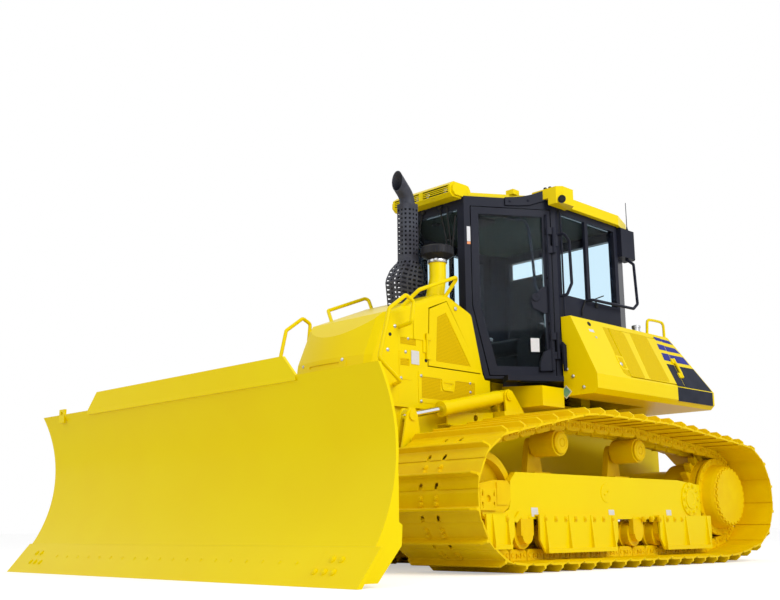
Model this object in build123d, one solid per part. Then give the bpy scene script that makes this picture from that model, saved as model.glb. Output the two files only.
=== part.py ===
"""Crawler bulldozer with a six-way blade, a slanted nose and a six-sided cab.

Units are millimetres. X points forward, Y to the machine's left, Z up. While the pieces are drawn, X = 0 is
the sprocket shaft and Z = 0 the ground. The last step moves everything so that the origin lies under the
middle of the machine's box.
"""
import math
import os
from collections import namedtuple

from build123d import *

os.makedirs("parts", exist_ok=True)

# Clearances
RUNNING_GAP = 0.3
PIN_CLEARANCE = 0.1
EAR_GAP = 2.0
DOOR_GAP = 8.0

# Tracks
WHEELBASE = 3165.0
TRACK_GAUGE = 2130.0
SHOE_WIDTH = 860.0
SHOE_COUNT = 46
SHOE_BASE = 40.0
SHOE_PLATE = 14.0
GROUSER_HEIGHT = 48.0
GROUSER_THICK = 20.0
GROUSER_END_CUT = 37.0
GROUSER_PLACE = 0.18
RAIL_DEPTH = 45.0
RAIL_WIDTH = 42.0
RAIL_SPREAD = 84.0
PITCH_RADIUS = 383.0

# Wheels and rollers
SPROCKET_Z = 549.0
SPROCKET_TEETH = 23
SPROCKET_WIDTH = 60.0
HUB_COVER_RADIUS = 257.0
HUB_COVER_FACE = 245.0
ROLLER_RADIUS = 92.0
ROLLER_COUNT = 8
ROLLER_FIRST_X = 330.0
ROLLER_LAST_X = WHEELBASE - 385.0
ROLLER_HALF = 130.0
CARRIER_RADIUS = 100.0
CARRIER_X = (1210.0, WHEELBASE - 893.0)
CARRIER_Z = (898.0, 908.0)
CARRIER_CAP = (130.0, 82.0)

# Track frames
FRAME_TOP = 672.0
FRAME_BOTTOM = 352.0
FRAME_HALF = 150.0
FRAME_REAR_X = 350.0
FRAME_FRONT_X = WHEELBASE - 240.0
FRAME_TOE = (60.0, 42.0)
FRAME_COVER = (1768.0, 547.0, 72.0)
FRAME_FLANGE = (520.0, 520.0, 138.0)
GUARD_OFFSET = 182.0
GUARD_THICK = 16.0
GUARD_DEPTH = 44.0
GUARD_SPANS = ((WHEELBASE - 216.0, WHEELBASE + 78.0, 152.0), (1700.0, WHEELBASE - 495.0, 117.0),
               (275.0, 1099.0, 113.0))

# Blade
MOLDBOARD_HALF = 1890.0
END_BIT_PROUD = 40.0
MOLDBOARD_THICK = 20.0
BLADE_TIP_X = 5027.0
BLADE_TOP = (4834.0, 1160.0)
BLADE_DEEP = (4706.0, 722.0)
BLADE_LOW = (4859.0, 202.0)
EDGE_THICK = 28.0
END_BIT_WIDTH = 400.0
SPILL_HALF_LOW = 1200.0
SPILL_HALF_TOP = 1080.0
SPILL_HEIGHT = 125.0
RIB_INSETS = (450.0, 760.0, 1420.0)
RIB_THICK = 20.0
RIB_LEVELS = (410.0, 530.0, 650.0, 770.0, 900.0)
BLADE_BACK = 150.0
BEAM_INSET = 440.0
END_PLATE_THICK = 25.0
END_PLATE_BACK = ((4694.0, 700.0), (4688.0, 538.0), (4688.0, 325.0), (4663.0, 310.0), (4670.0, 204.0),
                  (4843.0, 21.0))
END_PLATE_LEVELS = (215.0, 310.0, 410.0, 510.0, 610.0, 700.0)
LUG_PLATE = 18.0
ANGLE_LUG_GAP = 50.0
TILT_LUG_GAP = 22.0
LIFTING_EYE = (-1640.0, -1560.0, 42.0)

# C-frame and the blade's central joint
FRAME_PIVOT = (1650.0, 480.0)
PIVOT_PIN_RADIUS = 60.0
ARM_Y = 520.0
ARM_WIDTH = 90.0
ARM_DEPTH = 240.0
CROSS_X = (3800.0, 4000.0)
BALL = (4330.0, 520.0)
KNUCKLE_RADIUS = 80.0
TRUNNION_RADIUS = 60.0
FORK_PLATE = 36.0

# Hood
HOOD_HALF = 440.0
NOSE_HALF = 408.0
HOOD_WALL = 8.0
HOOD_BOTTOM = 1200.0
NOSE_X = 3517.0
NOSE_BOW = 60.0
NOSE_VENT = (235.0, 1420.0, 1515.0)
NOSE_FOLD_Z = 1530.0
NOSE_SLOPE = (120.0, 280.0)
NOSE_BROW_Z = 1868.0
NOSE_FOOT = 43.0
HOOD_ROUND = 42.0
ENGINE_SPAN = (2420.0, 300.0, 520.0)
NOSE_SPLIT_X = 3230.0
HOOD_TOP_Z = 2095.0
HOOD_TOP_X = (2650.0, 2760.0)
HOOD_REAR_X = 2180.0
HOOD_REAR_EDGE = ((2180.0, 1455.0), (2242.0, 1455.0), (2270.0, 1504.0), (2400.0, 1997.0))
STACK = (2764.0, 100.0)
STACK_RADIUS = 62.0
STACK_WALL = 5.0
STACK_TOP = 3076.0
STACK_REACH = 117.0
STACK_GUARD = 92.0
STACK_GUARD_DROP = 185.0
STACK_WAIST = 0.32
PRECLEANER = (2629.0, 300.0)

# Cab
CAB_FLOOR_Z = 1470.0
CAB_ROOF_Z = 3005.0
ROOF_TOP_Z = 3050.0
ROOF_CROWN = 28.0
ROOF_SKIRT_Z = 2960.0
ROOF_FRONT_X = 2330.0
LAMP_FRONT_X = 2500.0
LAMP_HALF = 335.0
LAMP_LOW_Z = 2984.0
LAMP_TOP_Z = 3118.0
POD = (1560.0, 1790.0, 640.0, 930.0, 2945.0, 3092.0)
LAMP_BARS = 3
BEACON = (1955.0, 560.0)
ANTENNA = (560.0, 785.0, 3239.0)
CAB_FRONT = (2360.0, 360.0)
CAB_SIDE_FRONT = (1690.0, 800.0)
CAB_SIDE_REAR = (770.0, 800.0)
CAB_REAR = (520.0, 690.0)
CAB_WALL = 60.0
CAB_FLOOR_THICK = 30.0
SCREEN_POST = 75.0
REAR_POST = 90.0
SCREEN_LEAN = 125.0
MULLION_X = 1245.0
CORNER_BOX = (500.0, 745.0, 700.0, 835.0, 2685.0, 2952.0)
WINDOW_LOW = 2200.0
WINDOW_HIGH = 2905.0
WINDSCREEN_LOW = 2060.0
GLASS_THICK = 8.0
DOOR_THICK = 45.0
DOOR_LOW = 1500.0
DOOR_BEND_Z = 2070.0

# Covers and louvres on the hood's sides, in side view
COVER_PROUD = 4.0
LOWER_COVER = ((2330.0, 1216.0), (2330.0, 1452.0), (3020.0, 1452.0), (3020.0, 1216.0))
LOWER_MESH = ((2372.0, 1250.0), (2372.0, 1415.0), (2600.0, 1415.0), (2622.0, 1385.0), (2742.0, 1385.0),
              (2764.0, 1415.0),
              (2985.0, 1415.0), (2985.0, 1250.0))
FRONT_COVER = ((3097.0, 1374.0), (3097.0, 1587.0), (3222.0, 1587.0), (3222.0, 1374.0))
FRONT_LOUVRE = ((3115.0, 1478.0), (3115.0, 1530.0), (3210.0, 1530.0), (3210.0, 1478.0))
UPPER_LOUVRE = ((3040.0, 1640.0), (3040.0, 1692.0), (3205.0, 1692.0), (3205.0, 1640.0))

# Doors on hood and body
HINGE_RADIUS = 11.0
DOOR_PROUD = 4.0
ENGINE_HINGE = (2925.0, HOOD_HALF + 12.0)
ENGINE_DOOR = ((2300.0, 1505.0), (2690.0, 2035.0), (2885.0, 1950.0), (2905.0, 1505.0))
ENGINE_DOOR_WINDOW = ((2415.0, 1545.0), (2700.0, 1945.0), (2800.0, 1900.0), (2820.0, 1545.0))
CAB_HINGE_REACH = 20.0
CAB_HINGE_RADIUS = 16.0
CAB_HINGE_POSTS = ((1700.0, 1800.0), (2600.0, 2700.0))
BODY_HINGE_OUT = 16.0

# Rear body
BODY_FRONT_X = 1689.0
BODY_TOP_Z = 1995.0
BODY_TOP_Y = 905.0
BODY_LOW_Y = 1140.0
BODY_FOLD_Z = 1490.0
BODY_BOTTOM_Z = 1335.0
BODY_REAR_TOP_X = 179.0
BODY_REAR_LOW_X = -175.0
BODY_INNER_Y = 460.0
DECK = (810.0, 1240.0, 1430.0)
BODY_DOOR = (330.0, 1180.0, 25.0, 500.0)

# Hull
HULL_HALF = 400.0
HULL_BELLY_Z = 390.0
HULL_REAR_X = -380.0
STERN_RAKE = 120.0
HULL_FRONT_X = 3480.0
DRAWBAR = (-530.0, 110.0, 40.0)
DRAWBAR_LEVELS = (480.0, 580.0)
DRAWBAR_PIN = (-465.0, 26.0)
CROSS_TUBE_X = (900.0, 1320.0)
CROSS_TUBE_Z = 560.0
CROSS_TUBE_RADIUS = 90.0
CAB_MOUNT_X = (700.0, 1950.0)
LIFT_GUARD = (2232.0, 2770.0, 504.0, 1190.0)

# Values that follow from the ones above
TRACK_Y = TRACK_GAUGE / 2
PITCH_TO_TIP = SHOE_BASE + SHOE_PLATE + GROUSER_HEIGHT
IDLER_Z = PITCH_TO_TIP + PITCH_RADIUS
ROLLER_Z = PITCH_TO_TIP + RAIL_DEPTH + ROLLER_RADIUS
DOOR_LENGTH = math.dist(CAB_FRONT, CAB_SIDE_FRONT)
BLADE_HALF = MOLDBOARD_HALF + END_BIT_PROUD
GRILLE_LENGTH = math.hypot(BODY_REAR_TOP_X - BODY_REAR_LOW_X, BODY_TOP_Z - BODY_FOLD_Z) - 70

# One cylinder: the pins of its two eyes, the direction of the eyes' bores, radii, the barrel's length and
# how far the rod goes in from rest
Cylinder = namedtuple("Cylinder", "pin far bore barrel rod length stroke_in eye_radius eye_width pin_radius")
LIFT = Cylinder((2158, 570, 1322), (3261, 570, 1087), (0, 1, 0), 55, 24, 775, 275, 48, 50, 27)
ANGLE = Cylinder((3880, 250, 740), (4500, 950, 740), (0, 0, 1), 50, 24, 610, 235, 42, 50, 20)
TILT = Cylinder((4335, -130, 930), (4480, 800, 930), (1, 0, 0), 60, 24, 560, 60, 46, 50, 26)
CYLINDER_NECK = 42.0
YOKE_RADIUS = 52.0
YOKE_BASE = (-62.0, -47.0)


def prism_y(outline, y0, y1):
    """A side-view outline of (x, z) points, drawn out between y0 and y1, in any order."""
    y0, y1 = sorted((y0, y1))
    face = Face(Wire.make_polygon([(x, y0, z) for x, z in outline]))
    return extrude(face, amount=y1 - y0, dir=(0, 1, 0))


def prism_z(outline, z0, z1):
    """A plan outline of (x, y) points, drawn up from z0 to z1."""
    face = Face(Wire.make_polygon([(x, y, z0) for x, y in outline]))
    return extrude(face, amount=z1 - z0, dir=(0, 0, 1))


def prism_x(outline, x0, x1):
    """A front-view outline of (y, z) points, drawn forward from x0 to x1."""
    face = Face(Wire.make_polygon([(x0, y, z) for y, z in outline]))
    return extrude(face, amount=x1 - x0, dir=(1, 0, 0))


def block(x0, x1, y0, y1, z0, z1):
    """A box given by its limits, in any order."""
    x0, x1 = sorted((x0, x1))
    y0, y1 = sorted((y0, y1))
    z0, z1 = sorted((z0, z1))
    return prism_z([(x0, y0), (x1, y0), (x1, y1), (x0, y1)], z0, z1)


def bar(start, end, radius):
    """A round bar from start to end."""
    line = Vector(end) - Vector(start)
    return Part() + Solid.make_cylinder(radius, line.length, Plane(origin=tuple(start), z_dir=line))


def bent_tube(points, radius, bend):
    """A round tube along straight runs with equal bends."""
    path = FilletPolyline(*points, radius=bend)
    section = Plane(origin=path @ 0, z_dir=path % 0) * Circle(radius)
    return sweep(section, path=path)


def plane_prism(plane, outline, inner, outer):
    """An outline of (a, b) points in a plane, drawn out between two depths along its normal."""
    face = Face(Wire.make_polygon([plane.from_local_coords((a, b, inner)) for a, b in outline]))
    return extrude(face, amount=outer - inner, dir=plane.z_dir)


def turned(x, z, profile):
    """A round piece on a cross shaft at (x, z), from its (y, radius) profile."""
    y0, y1 = profile[0][0], profile[-1][0]
    points = [(x, y0, z)] + [(x, y, z + radius) for y, radius in profile] + [(x, y1, z)]
    return revolve(Face(Wire.make_polygon(points)), axis=Axis((x, 0, z), (0, 1, 0)), revolution_arc=360)


def turned_up(x, y, profile):
    """A round piece on an upright axis at (x, y), from its (z, radius) profile."""
    z0, z1 = profile[0][0], profile[-1][0]
    points = [(x, y, z0)] + [(x + radius, y, z) for z, radius in profile] + [(x, y, z1)]
    return revolve(Face(Wire.make_polygon(points)), axis=Axis((x, y, 0), (0, 0, 1)), revolution_arc=360)


def toward(start, end, distance):
    """The point at a distance from start on the way to end."""
    line = (Vector(end) - Vector(start)).normalized()
    return Vector(start) + line * distance


def mirrored(piece):
    """The same piece on the other side of the machine."""
    return mirror(piece, about=Plane.XZ)


def pair(piece):
    """A left piece and its mirror image, as two solids."""
    return [piece, mirrored(piece)]


# Tracks
def wrap_circles():
    """What the pitch line wraps, in order from the sprocket over the top: (x, z, radius)."""
    top = [(x, z, CARRIER_RADIUS + RAIL_DEPTH) for x, z in zip(CARRIER_X, CARRIER_Z)]
    rear_roller = (ROLLER_FIRST_X, ROLLER_Z, RAIL_DEPTH + ROLLER_RADIUS)
    return [(0.0, SPROCKET_Z, PITCH_RADIUS)] + top + [(WHEELBASE, IDLER_Z, PITCH_RADIUS), rear_roller]


def track_path():
    """Arcs and straight runs of the pitch line, clockwise seen from the left: (kind, values, length)."""
    circles = wrap_circles()
    pairs = list(zip(circles, circles[1:] + circles[:1]))
    normals = []
    for (x0, z0, r0), (x1, z1, r1) in pairs:
        lean = math.asin((r0 - r1) / math.hypot(x1 - x0, z1 - z0))
        normals.append(math.atan2(z1 - z0, x1 - x0) + math.pi / 2 - lean)
    path = []
    for index, ((x0, z0, r0), (x1, z1, r1)) in enumerate(pairs):
        enter, leave = normals[index - 1], normals[index]
        path.append(("arc", (x0, z0, r0, enter), (enter - leave) % (2 * math.pi) * r0))
        start = (x0 + r0 * math.cos(leave), z0 + r0 * math.sin(leave))
        end = (x1 + r1 * math.cos(leave), z1 + r1 * math.sin(leave))
        path.append(("run", (start, end), math.dist(start, end)))
    return path


def path_point(path, distance):
    """The point of the pitch line at a distance from its start."""
    for kind, values, length in path:
        if distance <= length:
            break
        distance -= length
    if kind == "arc":
        x, z, radius, enter = values
        angle = enter - distance / radius
        return x + radius * math.cos(angle), z + radius * math.sin(angle)
    (x0, z0), (x1, z1) = values
    share = distance / length
    return x0 + (x1 - x0) * share, z0 + (z1 - z0) * share


def link_pins():
    """Pins of the chain: points of the pitch line one link apart."""
    path = track_path()
    pitch = sum(length for kind, values, length in path) / SHOE_COUNT
    return [path_point(path, index * pitch) for index in range(SHOE_COUNT)]


def offset_loop(pins, offset):
    """Corners of the loop that lies at an offset outside the pins."""
    corners = []
    for index, (x1, z1) in enumerate(pins):
        x0, z0 = pins[index - 1]
        x2, z2 = pins[(index + 1) % len(pins)]
        into = Vector(x1 - x0, 0, z1 - z0).normalized()
        out_of = Vector(x2 - x1, 0, z2 - z1).normalized()
        middle = (into + out_of).normalized()
        normal = Vector(-middle.Z, 0, middle.X)
        reach = offset / middle.dot(into)
        corners.append((x1 + normal.X * reach, z1 + normal.Z * reach))
    return corners


def seat_radius(x, z, largest):
    """Radius of a wheel that stays just clear of the rails' inner face all round."""
    face = offset_loop(link_pins(), -RAIL_DEPTH)
    nearest = largest + RUNNING_GAP
    for index, (x1, z1) in enumerate(face):
        x0, z0 = face[index - 1]
        length = math.dist((x0, z0), (x1, z1))
        along = ((x1 - x0) / length, (z1 - z0) / length)
        share = min(max((x - x0) * along[0] + (z - z0) * along[1], 0), length)
        nearest = min(nearest, math.dist((x, z), (x0 + along[0] * share, z0 + along[1] * share)))
    return nearest - RUNNING_GAP


def make_track():
    """Left track as one loop: shoe plates, grousers with cut ends, and two link rails."""
    pins = link_pins()
    half = SHOE_WIDTH / 2
    outer = offset_loop(pins, SHOE_BASE + SHOE_PLATE)
    inner = offset_loop(pins, SHOE_BASE)
    rail_face = offset_loop(pins, -RAIL_DEPTH)
    track = prism_y(outer, TRACK_Y - half, TRACK_Y + half) - prism_y(inner, TRACK_Y - half, TRACK_Y + half)
    rails = []
    for side in (-1, 1):
        middle = TRACK_Y + side * RAIL_SPREAD
        y0, y1 = middle - RAIL_WIDTH / 2, middle + RAIL_WIDTH / 2
        rails.append(prism_y(inner, y0, y1) - prism_y(rail_face, y0, y1))
    grousers = []
    height = SHOE_PLATE / 2 + GROUSER_HEIGHT
    tip = half - GROUSER_END_CUT
    outline = [(-half, 0), (half, 0), (half, height / 2), (tip, height), (-tip, height), (-half, height / 2)]
    for index, (x0, z0) in enumerate(pins):
        x1, z1 = pins[(index + 1) % len(pins)]
        along = Vector(x1 - x0, 0, z1 - z0)
        foot = Vector(x0, TRACK_Y, z0) + along * GROUSER_PLACE
        along = along.normalized()
        out = Vector(-along.Z, 0, along.X)
        plane = Plane(origin=foot + out * (SHOE_BASE + SHOE_PLATE / 2), x_dir=out.cross(along), z_dir=along)
        grousers.append(plane_prism(plane, outline, 0, GROUSER_THICK))
    return track.fuse(*rails).fuse(*grousers)


def make_roller(x, z, radius):
    """A double-flanged track roller with its end collars, on the left."""
    roller = bar((x, TRACK_Y - ROLLER_HALF, z), (x, TRACK_Y + ROLLER_HALF, z), radius * 0.6)
    flange_out = RAIL_SPREAD - RAIL_WIDTH / 2 - 2
    flange_in = SPROCKET_WIDTH / 2 + 7
    for side in (-1, 1):
        inner, outer = TRACK_Y + side * flange_in, TRACK_Y + side * flange_out
        roller += bar((x, inner, z), (x, TRACK_Y + side * ROLLER_HALF, z), radius)
        roller += bar((x, inner, z), (x, outer, z), radius + 18)
        collar = TRACK_Y + side * (ROLLER_HALF + 46)
        roller += bar((x, TRACK_Y + side * ROLLER_HALF, z), (x, collar, z), radius * 0.62)
    return roller


def make_track_rollers():
    """Eight track rollers a side, each hung from the frame by its two shaft brackets."""
    step = (ROLLER_LAST_X - ROLLER_FIRST_X) / (ROLLER_COUNT - 1)
    z = ROLLER_Z
    solids = []
    for index in range(ROLLER_COUNT):
        x = ROLLER_FIRST_X + index * step
        roller = make_roller(x, z, seat_radius(x, z, ROLLER_RADIUS))
        for side in (-1, 1):
            y = TRACK_Y + side * (ROLLER_HALF + 24)
            roller += block(x - 70, x + 70, y - 20, y + 20, z, FRAME_BOTTOM - RUNNING_GAP)
        solids += pair(roller)
    return solids


def make_carrier_rollers():
    """Two carrier rollers a side, with their grooved round caps and the brackets that stand on the frame."""
    solids = []
    cap_y, cap_radius = CARRIER_CAP
    for x, z in zip(CARRIER_X, CARRIER_Z):
        y = TRACK_Y
        radius = seat_radius(x, z, CARRIER_RADIUS)
        tread = RAIL_SPREAD + RAIL_WIDTH / 2 + 2
        roller = turned(x, z, [(y - 188, 55), (y - tread, 55), (y - tread, radius), (y + tread, radius),
                               (y + tread, cap_radius - 14), (y + tread + 7, cap_radius - 14),
                               (y + tread + 7, cap_radius),
                               (y + cap_y - 6, cap_radius), (y + cap_y, cap_radius - 8), (y + cap_y, 34),
                               (y + cap_y - 5, 34)])
        foot = FRAME_TOP + RUNNING_GAP
        roller += prism_y([(x - 100, foot), (x + 100, foot), (x + 60, z), (x - 60, z)], y - 188, y - 138)
        roller += block(x - 100, x + 100, y - 188, y - 60, foot, foot + 25)
        solids += pair(roller)
    return solids


def make_track_frame():
    """Left track frame: the long box beam with its edge ledge and covers, and the fork round the idler."""
    toe_reach, toe_depth = FRAME_TOE
    toe_x = WHEELBASE + toe_reach
    toe_top = FRAME_BOTTOM + toe_depth
    side = [(FRAME_REAR_X, FRAME_BOTTOM), (toe_x - 30, FRAME_BOTTOM), (toe_x, FRAME_BOTTOM + 25),
            (toe_x, toe_top),
            (FRAME_FRONT_X + 75, toe_top), (FRAME_FRONT_X + 22, toe_top + 22), (FRAME_FRONT_X, toe_top + 75),
            (FRAME_FRONT_X, FRAME_TOP - 62), (FRAME_FRONT_X - 60, FRAME_TOP), (FRAME_REAR_X + 350, FRAME_TOP),
            (FRAME_REAR_X, FRAME_TOP - 32)]
    frame = prism_y(side, TRACK_Y - FRAME_HALF, TRACK_Y + FRAME_HALF)
    outer = TRACK_Y + FRAME_HALF
    frame += block(FRAME_REAR_X + 120, FRAME_FRONT_X - 40, outer - 1, outer + 9, FRAME_BOTTOM,
                   FRAME_BOTTOM + 16)
    frame += turned(FRAME_COVER[0], FRAME_COVER[1],
                    [(outer - 1, FRAME_COVER[2]), (outer + 5, FRAME_COVER[2] - 3)])
    flange_x, flange_z, flange_radius = FRAME_FLANGE
    frame += turned(flange_x, flange_z, [(outer - 1, flange_radius), (outer + 10, flange_radius), (outer + 12,
                                                                                                   flange_radius - 4)])
    wheel_slot = (WHEELBASE - PITCH_RADIUS, toe_x + 1, TRACK_Y - 110, TRACK_Y + 110, 0, FRAME_TOP + 1)
    half = SPROCKET_WIDTH / 2 + 12
    ring_slot = (FRAME_REAR_X - 1, PITCH_RADIUS + 20, TRACK_Y - half, TRACK_Y + half, 0, FRAME_TOP + 1)
    return frame - block(*wheel_slot) - block(*ring_slot)


def make_idler():
    """Left idler: rim, centre flange and hub, between the two arms of its yoke with their bolted pads."""
    radius = seat_radius(WHEELBASE, IDLER_Z, PITCH_RADIUS)

    def disc(y0, y1, size):
        return bar((WHEELBASE, TRACK_Y + y0, IDLER_Z), (WHEELBASE, TRACK_Y + y1, IDLER_Z), size)

    low = FRAME_BOTTOM + FRAME_TOE[1] + RUNNING_GAP
    joint_x = FRAME_FRONT_X + RUNNING_GAP
    arm = [(WHEELBASE + 85, low), (WHEELBASE + 125, low + 45), (WHEELBASE + 125, IDLER_Z + 70),
           (WHEELBASE + 85, IDLER_Z + 100), (WHEELBASE - 60, IDLER_Z + 125), (joint_x + 30, IDLER_Z + 125),
           (joint_x, IDLER_Z + 95), (joint_x, low + 80), (joint_x + 28, low + 30), (joint_x + 82, low)]
    wheel = disc(-105, 105, radius) + disc(-56, 56, radius + 18)
    for side in (-1, 1):
        wheel -= disc(side * 40, side * 106, radius - 50)
        wheel += disc(side * 30, side * 140, 88)
        wheel += prism_y(arm, TRACK_Y + side * 112, TRACK_Y + side * FRAME_HALF)
        wheel += yoke_pad(side)
    return wheel


def yoke_pad(side):
    """Bolted pad on the idler yoke's arm: a plate with a round hole and four slots, and a raised block behind."""
    face = TRACK_Y + side * (FRAME_HALF - 1)
    proud = TRACK_Y + side * (FRAME_HALF + 15)
    x0, x1 = WHEELBASE - 72, WHEELBASE + 96
    z0, z1 = IDLER_Z - 78, IDLER_Z + 72
    pad = block(x0, x1, face, proud, z0, z1)
    pad -= bar((WHEELBASE + 12, face - side, IDLER_Z), (WHEELBASE + 12, proud + side, IDLER_Z), 24)
    for x in (x0 + 24, x1 - 24):
        for z in (z0 + 36, z1 - 36):
            pad -= block(x - 7, x + 7, face - side, proud + side, z - 20, z + 20)
    return pad + block(FRAME_FRONT_X + 22, x0 - 14, face, TRACK_Y + side * (FRAME_HALF + 8), IDLER_Z - 40,
                       IDLER_Z + 110)


def make_sprocket():
    """Left sprocket: toothed ring, final drive drum and its stepped, rounded hub cover."""
    root, tip = PITCH_RADIUS - RAIL_DEPTH - 6, PITCH_RADIUS + 6
    outline = []
    for tooth in range(SPROCKET_TEETH):
        for share, radius in ((-0.36, root), (-0.12, tip), (0.12, tip), (0.36, root)):
            angle = (tooth + share) * 2 * math.pi / SPROCKET_TEETH
            outline.append((radius * math.cos(angle), SPROCKET_Z + radius * math.sin(angle)))
    half = SPROCKET_WIDTH / 2
    y = TRACK_Y
    cover, face = HUB_COVER_RADIUS, HUB_COVER_FACE
    wheel = prism_y(outline, y - half, y + half)
    return wheel + turned(0, SPROCKET_Z, [
        (y - 255, 290), (y + half, 290), (y + half, 325), (y + 80, 325), (y + 80, 300), (y + 105, 300),
        (y + 105, 330),
        (y + 128, 330), (y + 128, 278), (y + face - 40, cover + 6), (y + face - 12, cover - 4),
        (y + face, cover - 28),
        (y + face, cover - 60), (y + face + 6, cover - 66), (y + face + 6, 1)])


def make_roller_guards():
    """Guards hung outside the rollers: front, middle and rear plates, with bottom rail, buttresses and top lip."""
    solids = []
    top = FRAME_BOTTOM + 30
    y0 = TRACK_Y + GUARD_OFFSET
    y1 = y0 + GUARD_DEPTH
    for x0, x1, low in GUARD_SPANS:
        shape = [(x0, top), (x1, top), (x1, low + 90), (x1 - 60, low), (x0 + 60, low), (x0, low + 90)]
        guard = prism_y(shape, y0, y0 + GUARD_THICK)
        guard += prism_y([(x1 - 55, low + 30), (x1 - 60, low), (x0 + 60, low), (x0 + 55, low + 30)], y0, y1)
        count = max(2, round((x1 - x0) / 240))
        for index in range(count):
            x = x0 + 70 + (x1 - x0 - 140) * index / (count - 1)
            guard += prism_x([(y0, top), (y0 + GUARD_THICK + 4, top), (y1, low + 25), (y0, low + 25)], x - 9,
                             x + 9)
        lip_x1 = min(x1, FRAME_FRONT_X)
        lip = (x0, lip_x1) if lip_x1 > x0 else (x0, x0 + 60)
        guard += block(*lip, TRACK_Y + FRAME_HALF + RUNNING_GAP, y0 + 1, FRAME_BOTTOM + 18, top)
        solids += pair(guard)
    return solids


# Hull
def hull_shell():
    """The hull's box in side view: slanted bow and stern, upright sides."""
    hood_seat = HOOD_BOTTOM - RUNNING_GAP
    body_seat = BODY_BOTTOM_Z - RUNNING_GAP
    profile = [(HULL_REAR_X, 560), (HULL_REAR_X + STERN_RAKE, HULL_BELLY_Z),
               (HULL_FRONT_X - 300, HULL_BELLY_Z),
               (HULL_FRONT_X, 620), (HULL_FRONT_X, hood_seat), (HOOD_REAR_X, hood_seat),
               (HOOD_REAR_X - 200, body_seat), (BODY_REAR_LOW_X, body_seat), (HULL_REAR_X, body_seat - 200)]
    return prism_y(profile, -HULL_HALF, HULL_HALF)


def make_main_frame():
    """Hull: belly and sides, final drive arms, track frame tubes, cab mounts and cylinder brackets."""
    hood_seat = HOOD_BOTTOM - RUNNING_GAP
    body_seat = BODY_BOTTOM_Z - RUNNING_GAP
    hull = hull_shell()
    hull += block(HOOD_REAR_X, NOSE_X + 20, -HOOD_HALF, HOOD_HALF, hood_seat - 30, hood_seat)
    cab_seat = CAB_FLOOR_Z - RUNNING_GAP
    for side in (-1, 1):
        inner, outer = side * (HULL_HALF - 10), side * (TRACK_Y - FRAME_HALF - RUNNING_GAP)
        drive = side * (TRACK_Y - 255 - RUNNING_GAP)
        hull += bar((0, inner, SPROCKET_Z), (0, drive, SPROCKET_Z), 240)
        for x in CROSS_TUBE_X:
            hull += bar((x, inner, CROSS_TUBE_Z), (x, outer, CROSS_TUBE_Z), CROSS_TUBE_RADIUS)
        for x in CAB_MOUNT_X:
            hull += block(x - 70, x + 70, side * 200, side * 330, body_seat - 50, cab_seat)
        px, pz = FRAME_PIVOT
        arm_out = side * (ARM_Y + ARM_WIDTH / 2 + EAR_GAP)
        hull += bar((px, inner, pz), (px, arm_out, pz), PIVOT_PIN_RADIUS)
        hull += bar((px, arm_out, pz), (px, arm_out + side * 14, pz), PIVOT_PIN_RADIUS + 25)
        hull += bar((px, inner, pz), (px, side * (ARM_Y - ARM_WIDTH / 2 - EAR_GAP), pz),
                    PIVOT_PIN_RADIUS + 40)
        hull += lift_bracket(side)
        hull += lift_guard(side)
    return hull


def make_drawbar():
    """Drawbar: two thick plates on the hull's stern, with the bore of the pin through both."""
    rear, half, thick = DRAWBAR
    pin_x, pin_radius = DRAWBAR_PIN
    stern = Pos(-RUNNING_GAP, 0, 0) * hull_shell()
    plates = []
    for low in DRAWBAR_LEVELS:
        plate = block(rear, HULL_REAR_X + STERN_RAKE, -half, half, low, low + thick) - stern
        plates.append(plate - bar((pin_x, 0, low - 1), (pin_x, 0, low + thick + 1), pin_radius))
    return plates


def lift_bracket(side):
    """Bracket of a lift cylinder's rear pin: a shelf on the hull, two rounded ears with bosses, and the pin."""
    x, y, z = LIFT.pin
    shelf_z = HOOD_BOTTOM - 5
    ear = [(x - 190, shelf_z), (x + 40, shelf_z), (x + 52, z), (x + 37, z + 37), (x, z + 52),
           (x - 37, z + 37),
           (x - 70, z + 10)]
    near = LIFT.eye_width / 2 + EAR_GAP
    far = near + 16
    bracket = block(x - 190, x + 60, side * (HULL_HALF - 10), side * (y + far), shelf_z - 45, shelf_z)
    for inner, outer in ((-far, -near), (near, far)):
        bracket += prism_y(ear, side * y + inner, side * y + outer)
    for inner, outer in ((-far - 16, -far), (far, far + 16)):
        bracket += bar((x, side * y + inner, z), (x, side * y + outer, z), LIFT.pin_radius + 14)
    return bracket + bar((x, side * y - far - 20, z), (x, side * y + far + 20, z), LIFT.pin_radius)


def lift_guard(side):
    """Open box under a lift cylinder's barrel, on the hull's side: outer plate with its hand hole, foot and end."""
    x0, x1, outer, top = LIFT_GUARD
    low = top - 130
    plate = prism_y([(x0, top), (x1, top - 45), (x1, low), (x0, low)], side * (outer - 12), side * outer)
    middle = (x0 + x1) / 2
    plate -= bar((middle - 60, side * (outer - 13), top - 60), (middle - 60, side * (outer + 1), top - 60),
                 26)
    foot = block(x0, x1, side * (HULL_HALF - 5), side * (outer - 1), low, low + 12)
    return plate + foot + block(x0, x0 + 12, side * (HULL_HALF - 5), side * (outer - 1), low, top - 2)


# Hood
def hood_top(inset):
    """Side view of the space under the hood's top line, moved in by an inset, open ahead of the nose."""
    i = inset
    ahead = 260.0
    return [(HOOD_REAR_X + i, HOOD_BOTTOM), (NOSE_X + ahead, HOOD_BOTTOM),
            (NOSE_X + ahead, NOSE_BROW_Z - ahead - 172 - i),
            (NOSE_X - 172 - i, NOSE_BROW_Z - i), (HOOD_TOP_X[1], HOOD_TOP_Z - i),
            (HOOD_TOP_X[0] + i / 2, HOOD_TOP_Z - i),
            *[(x + i, z - i) for x, z in reversed(HOOD_REAR_EDGE)]]


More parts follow.
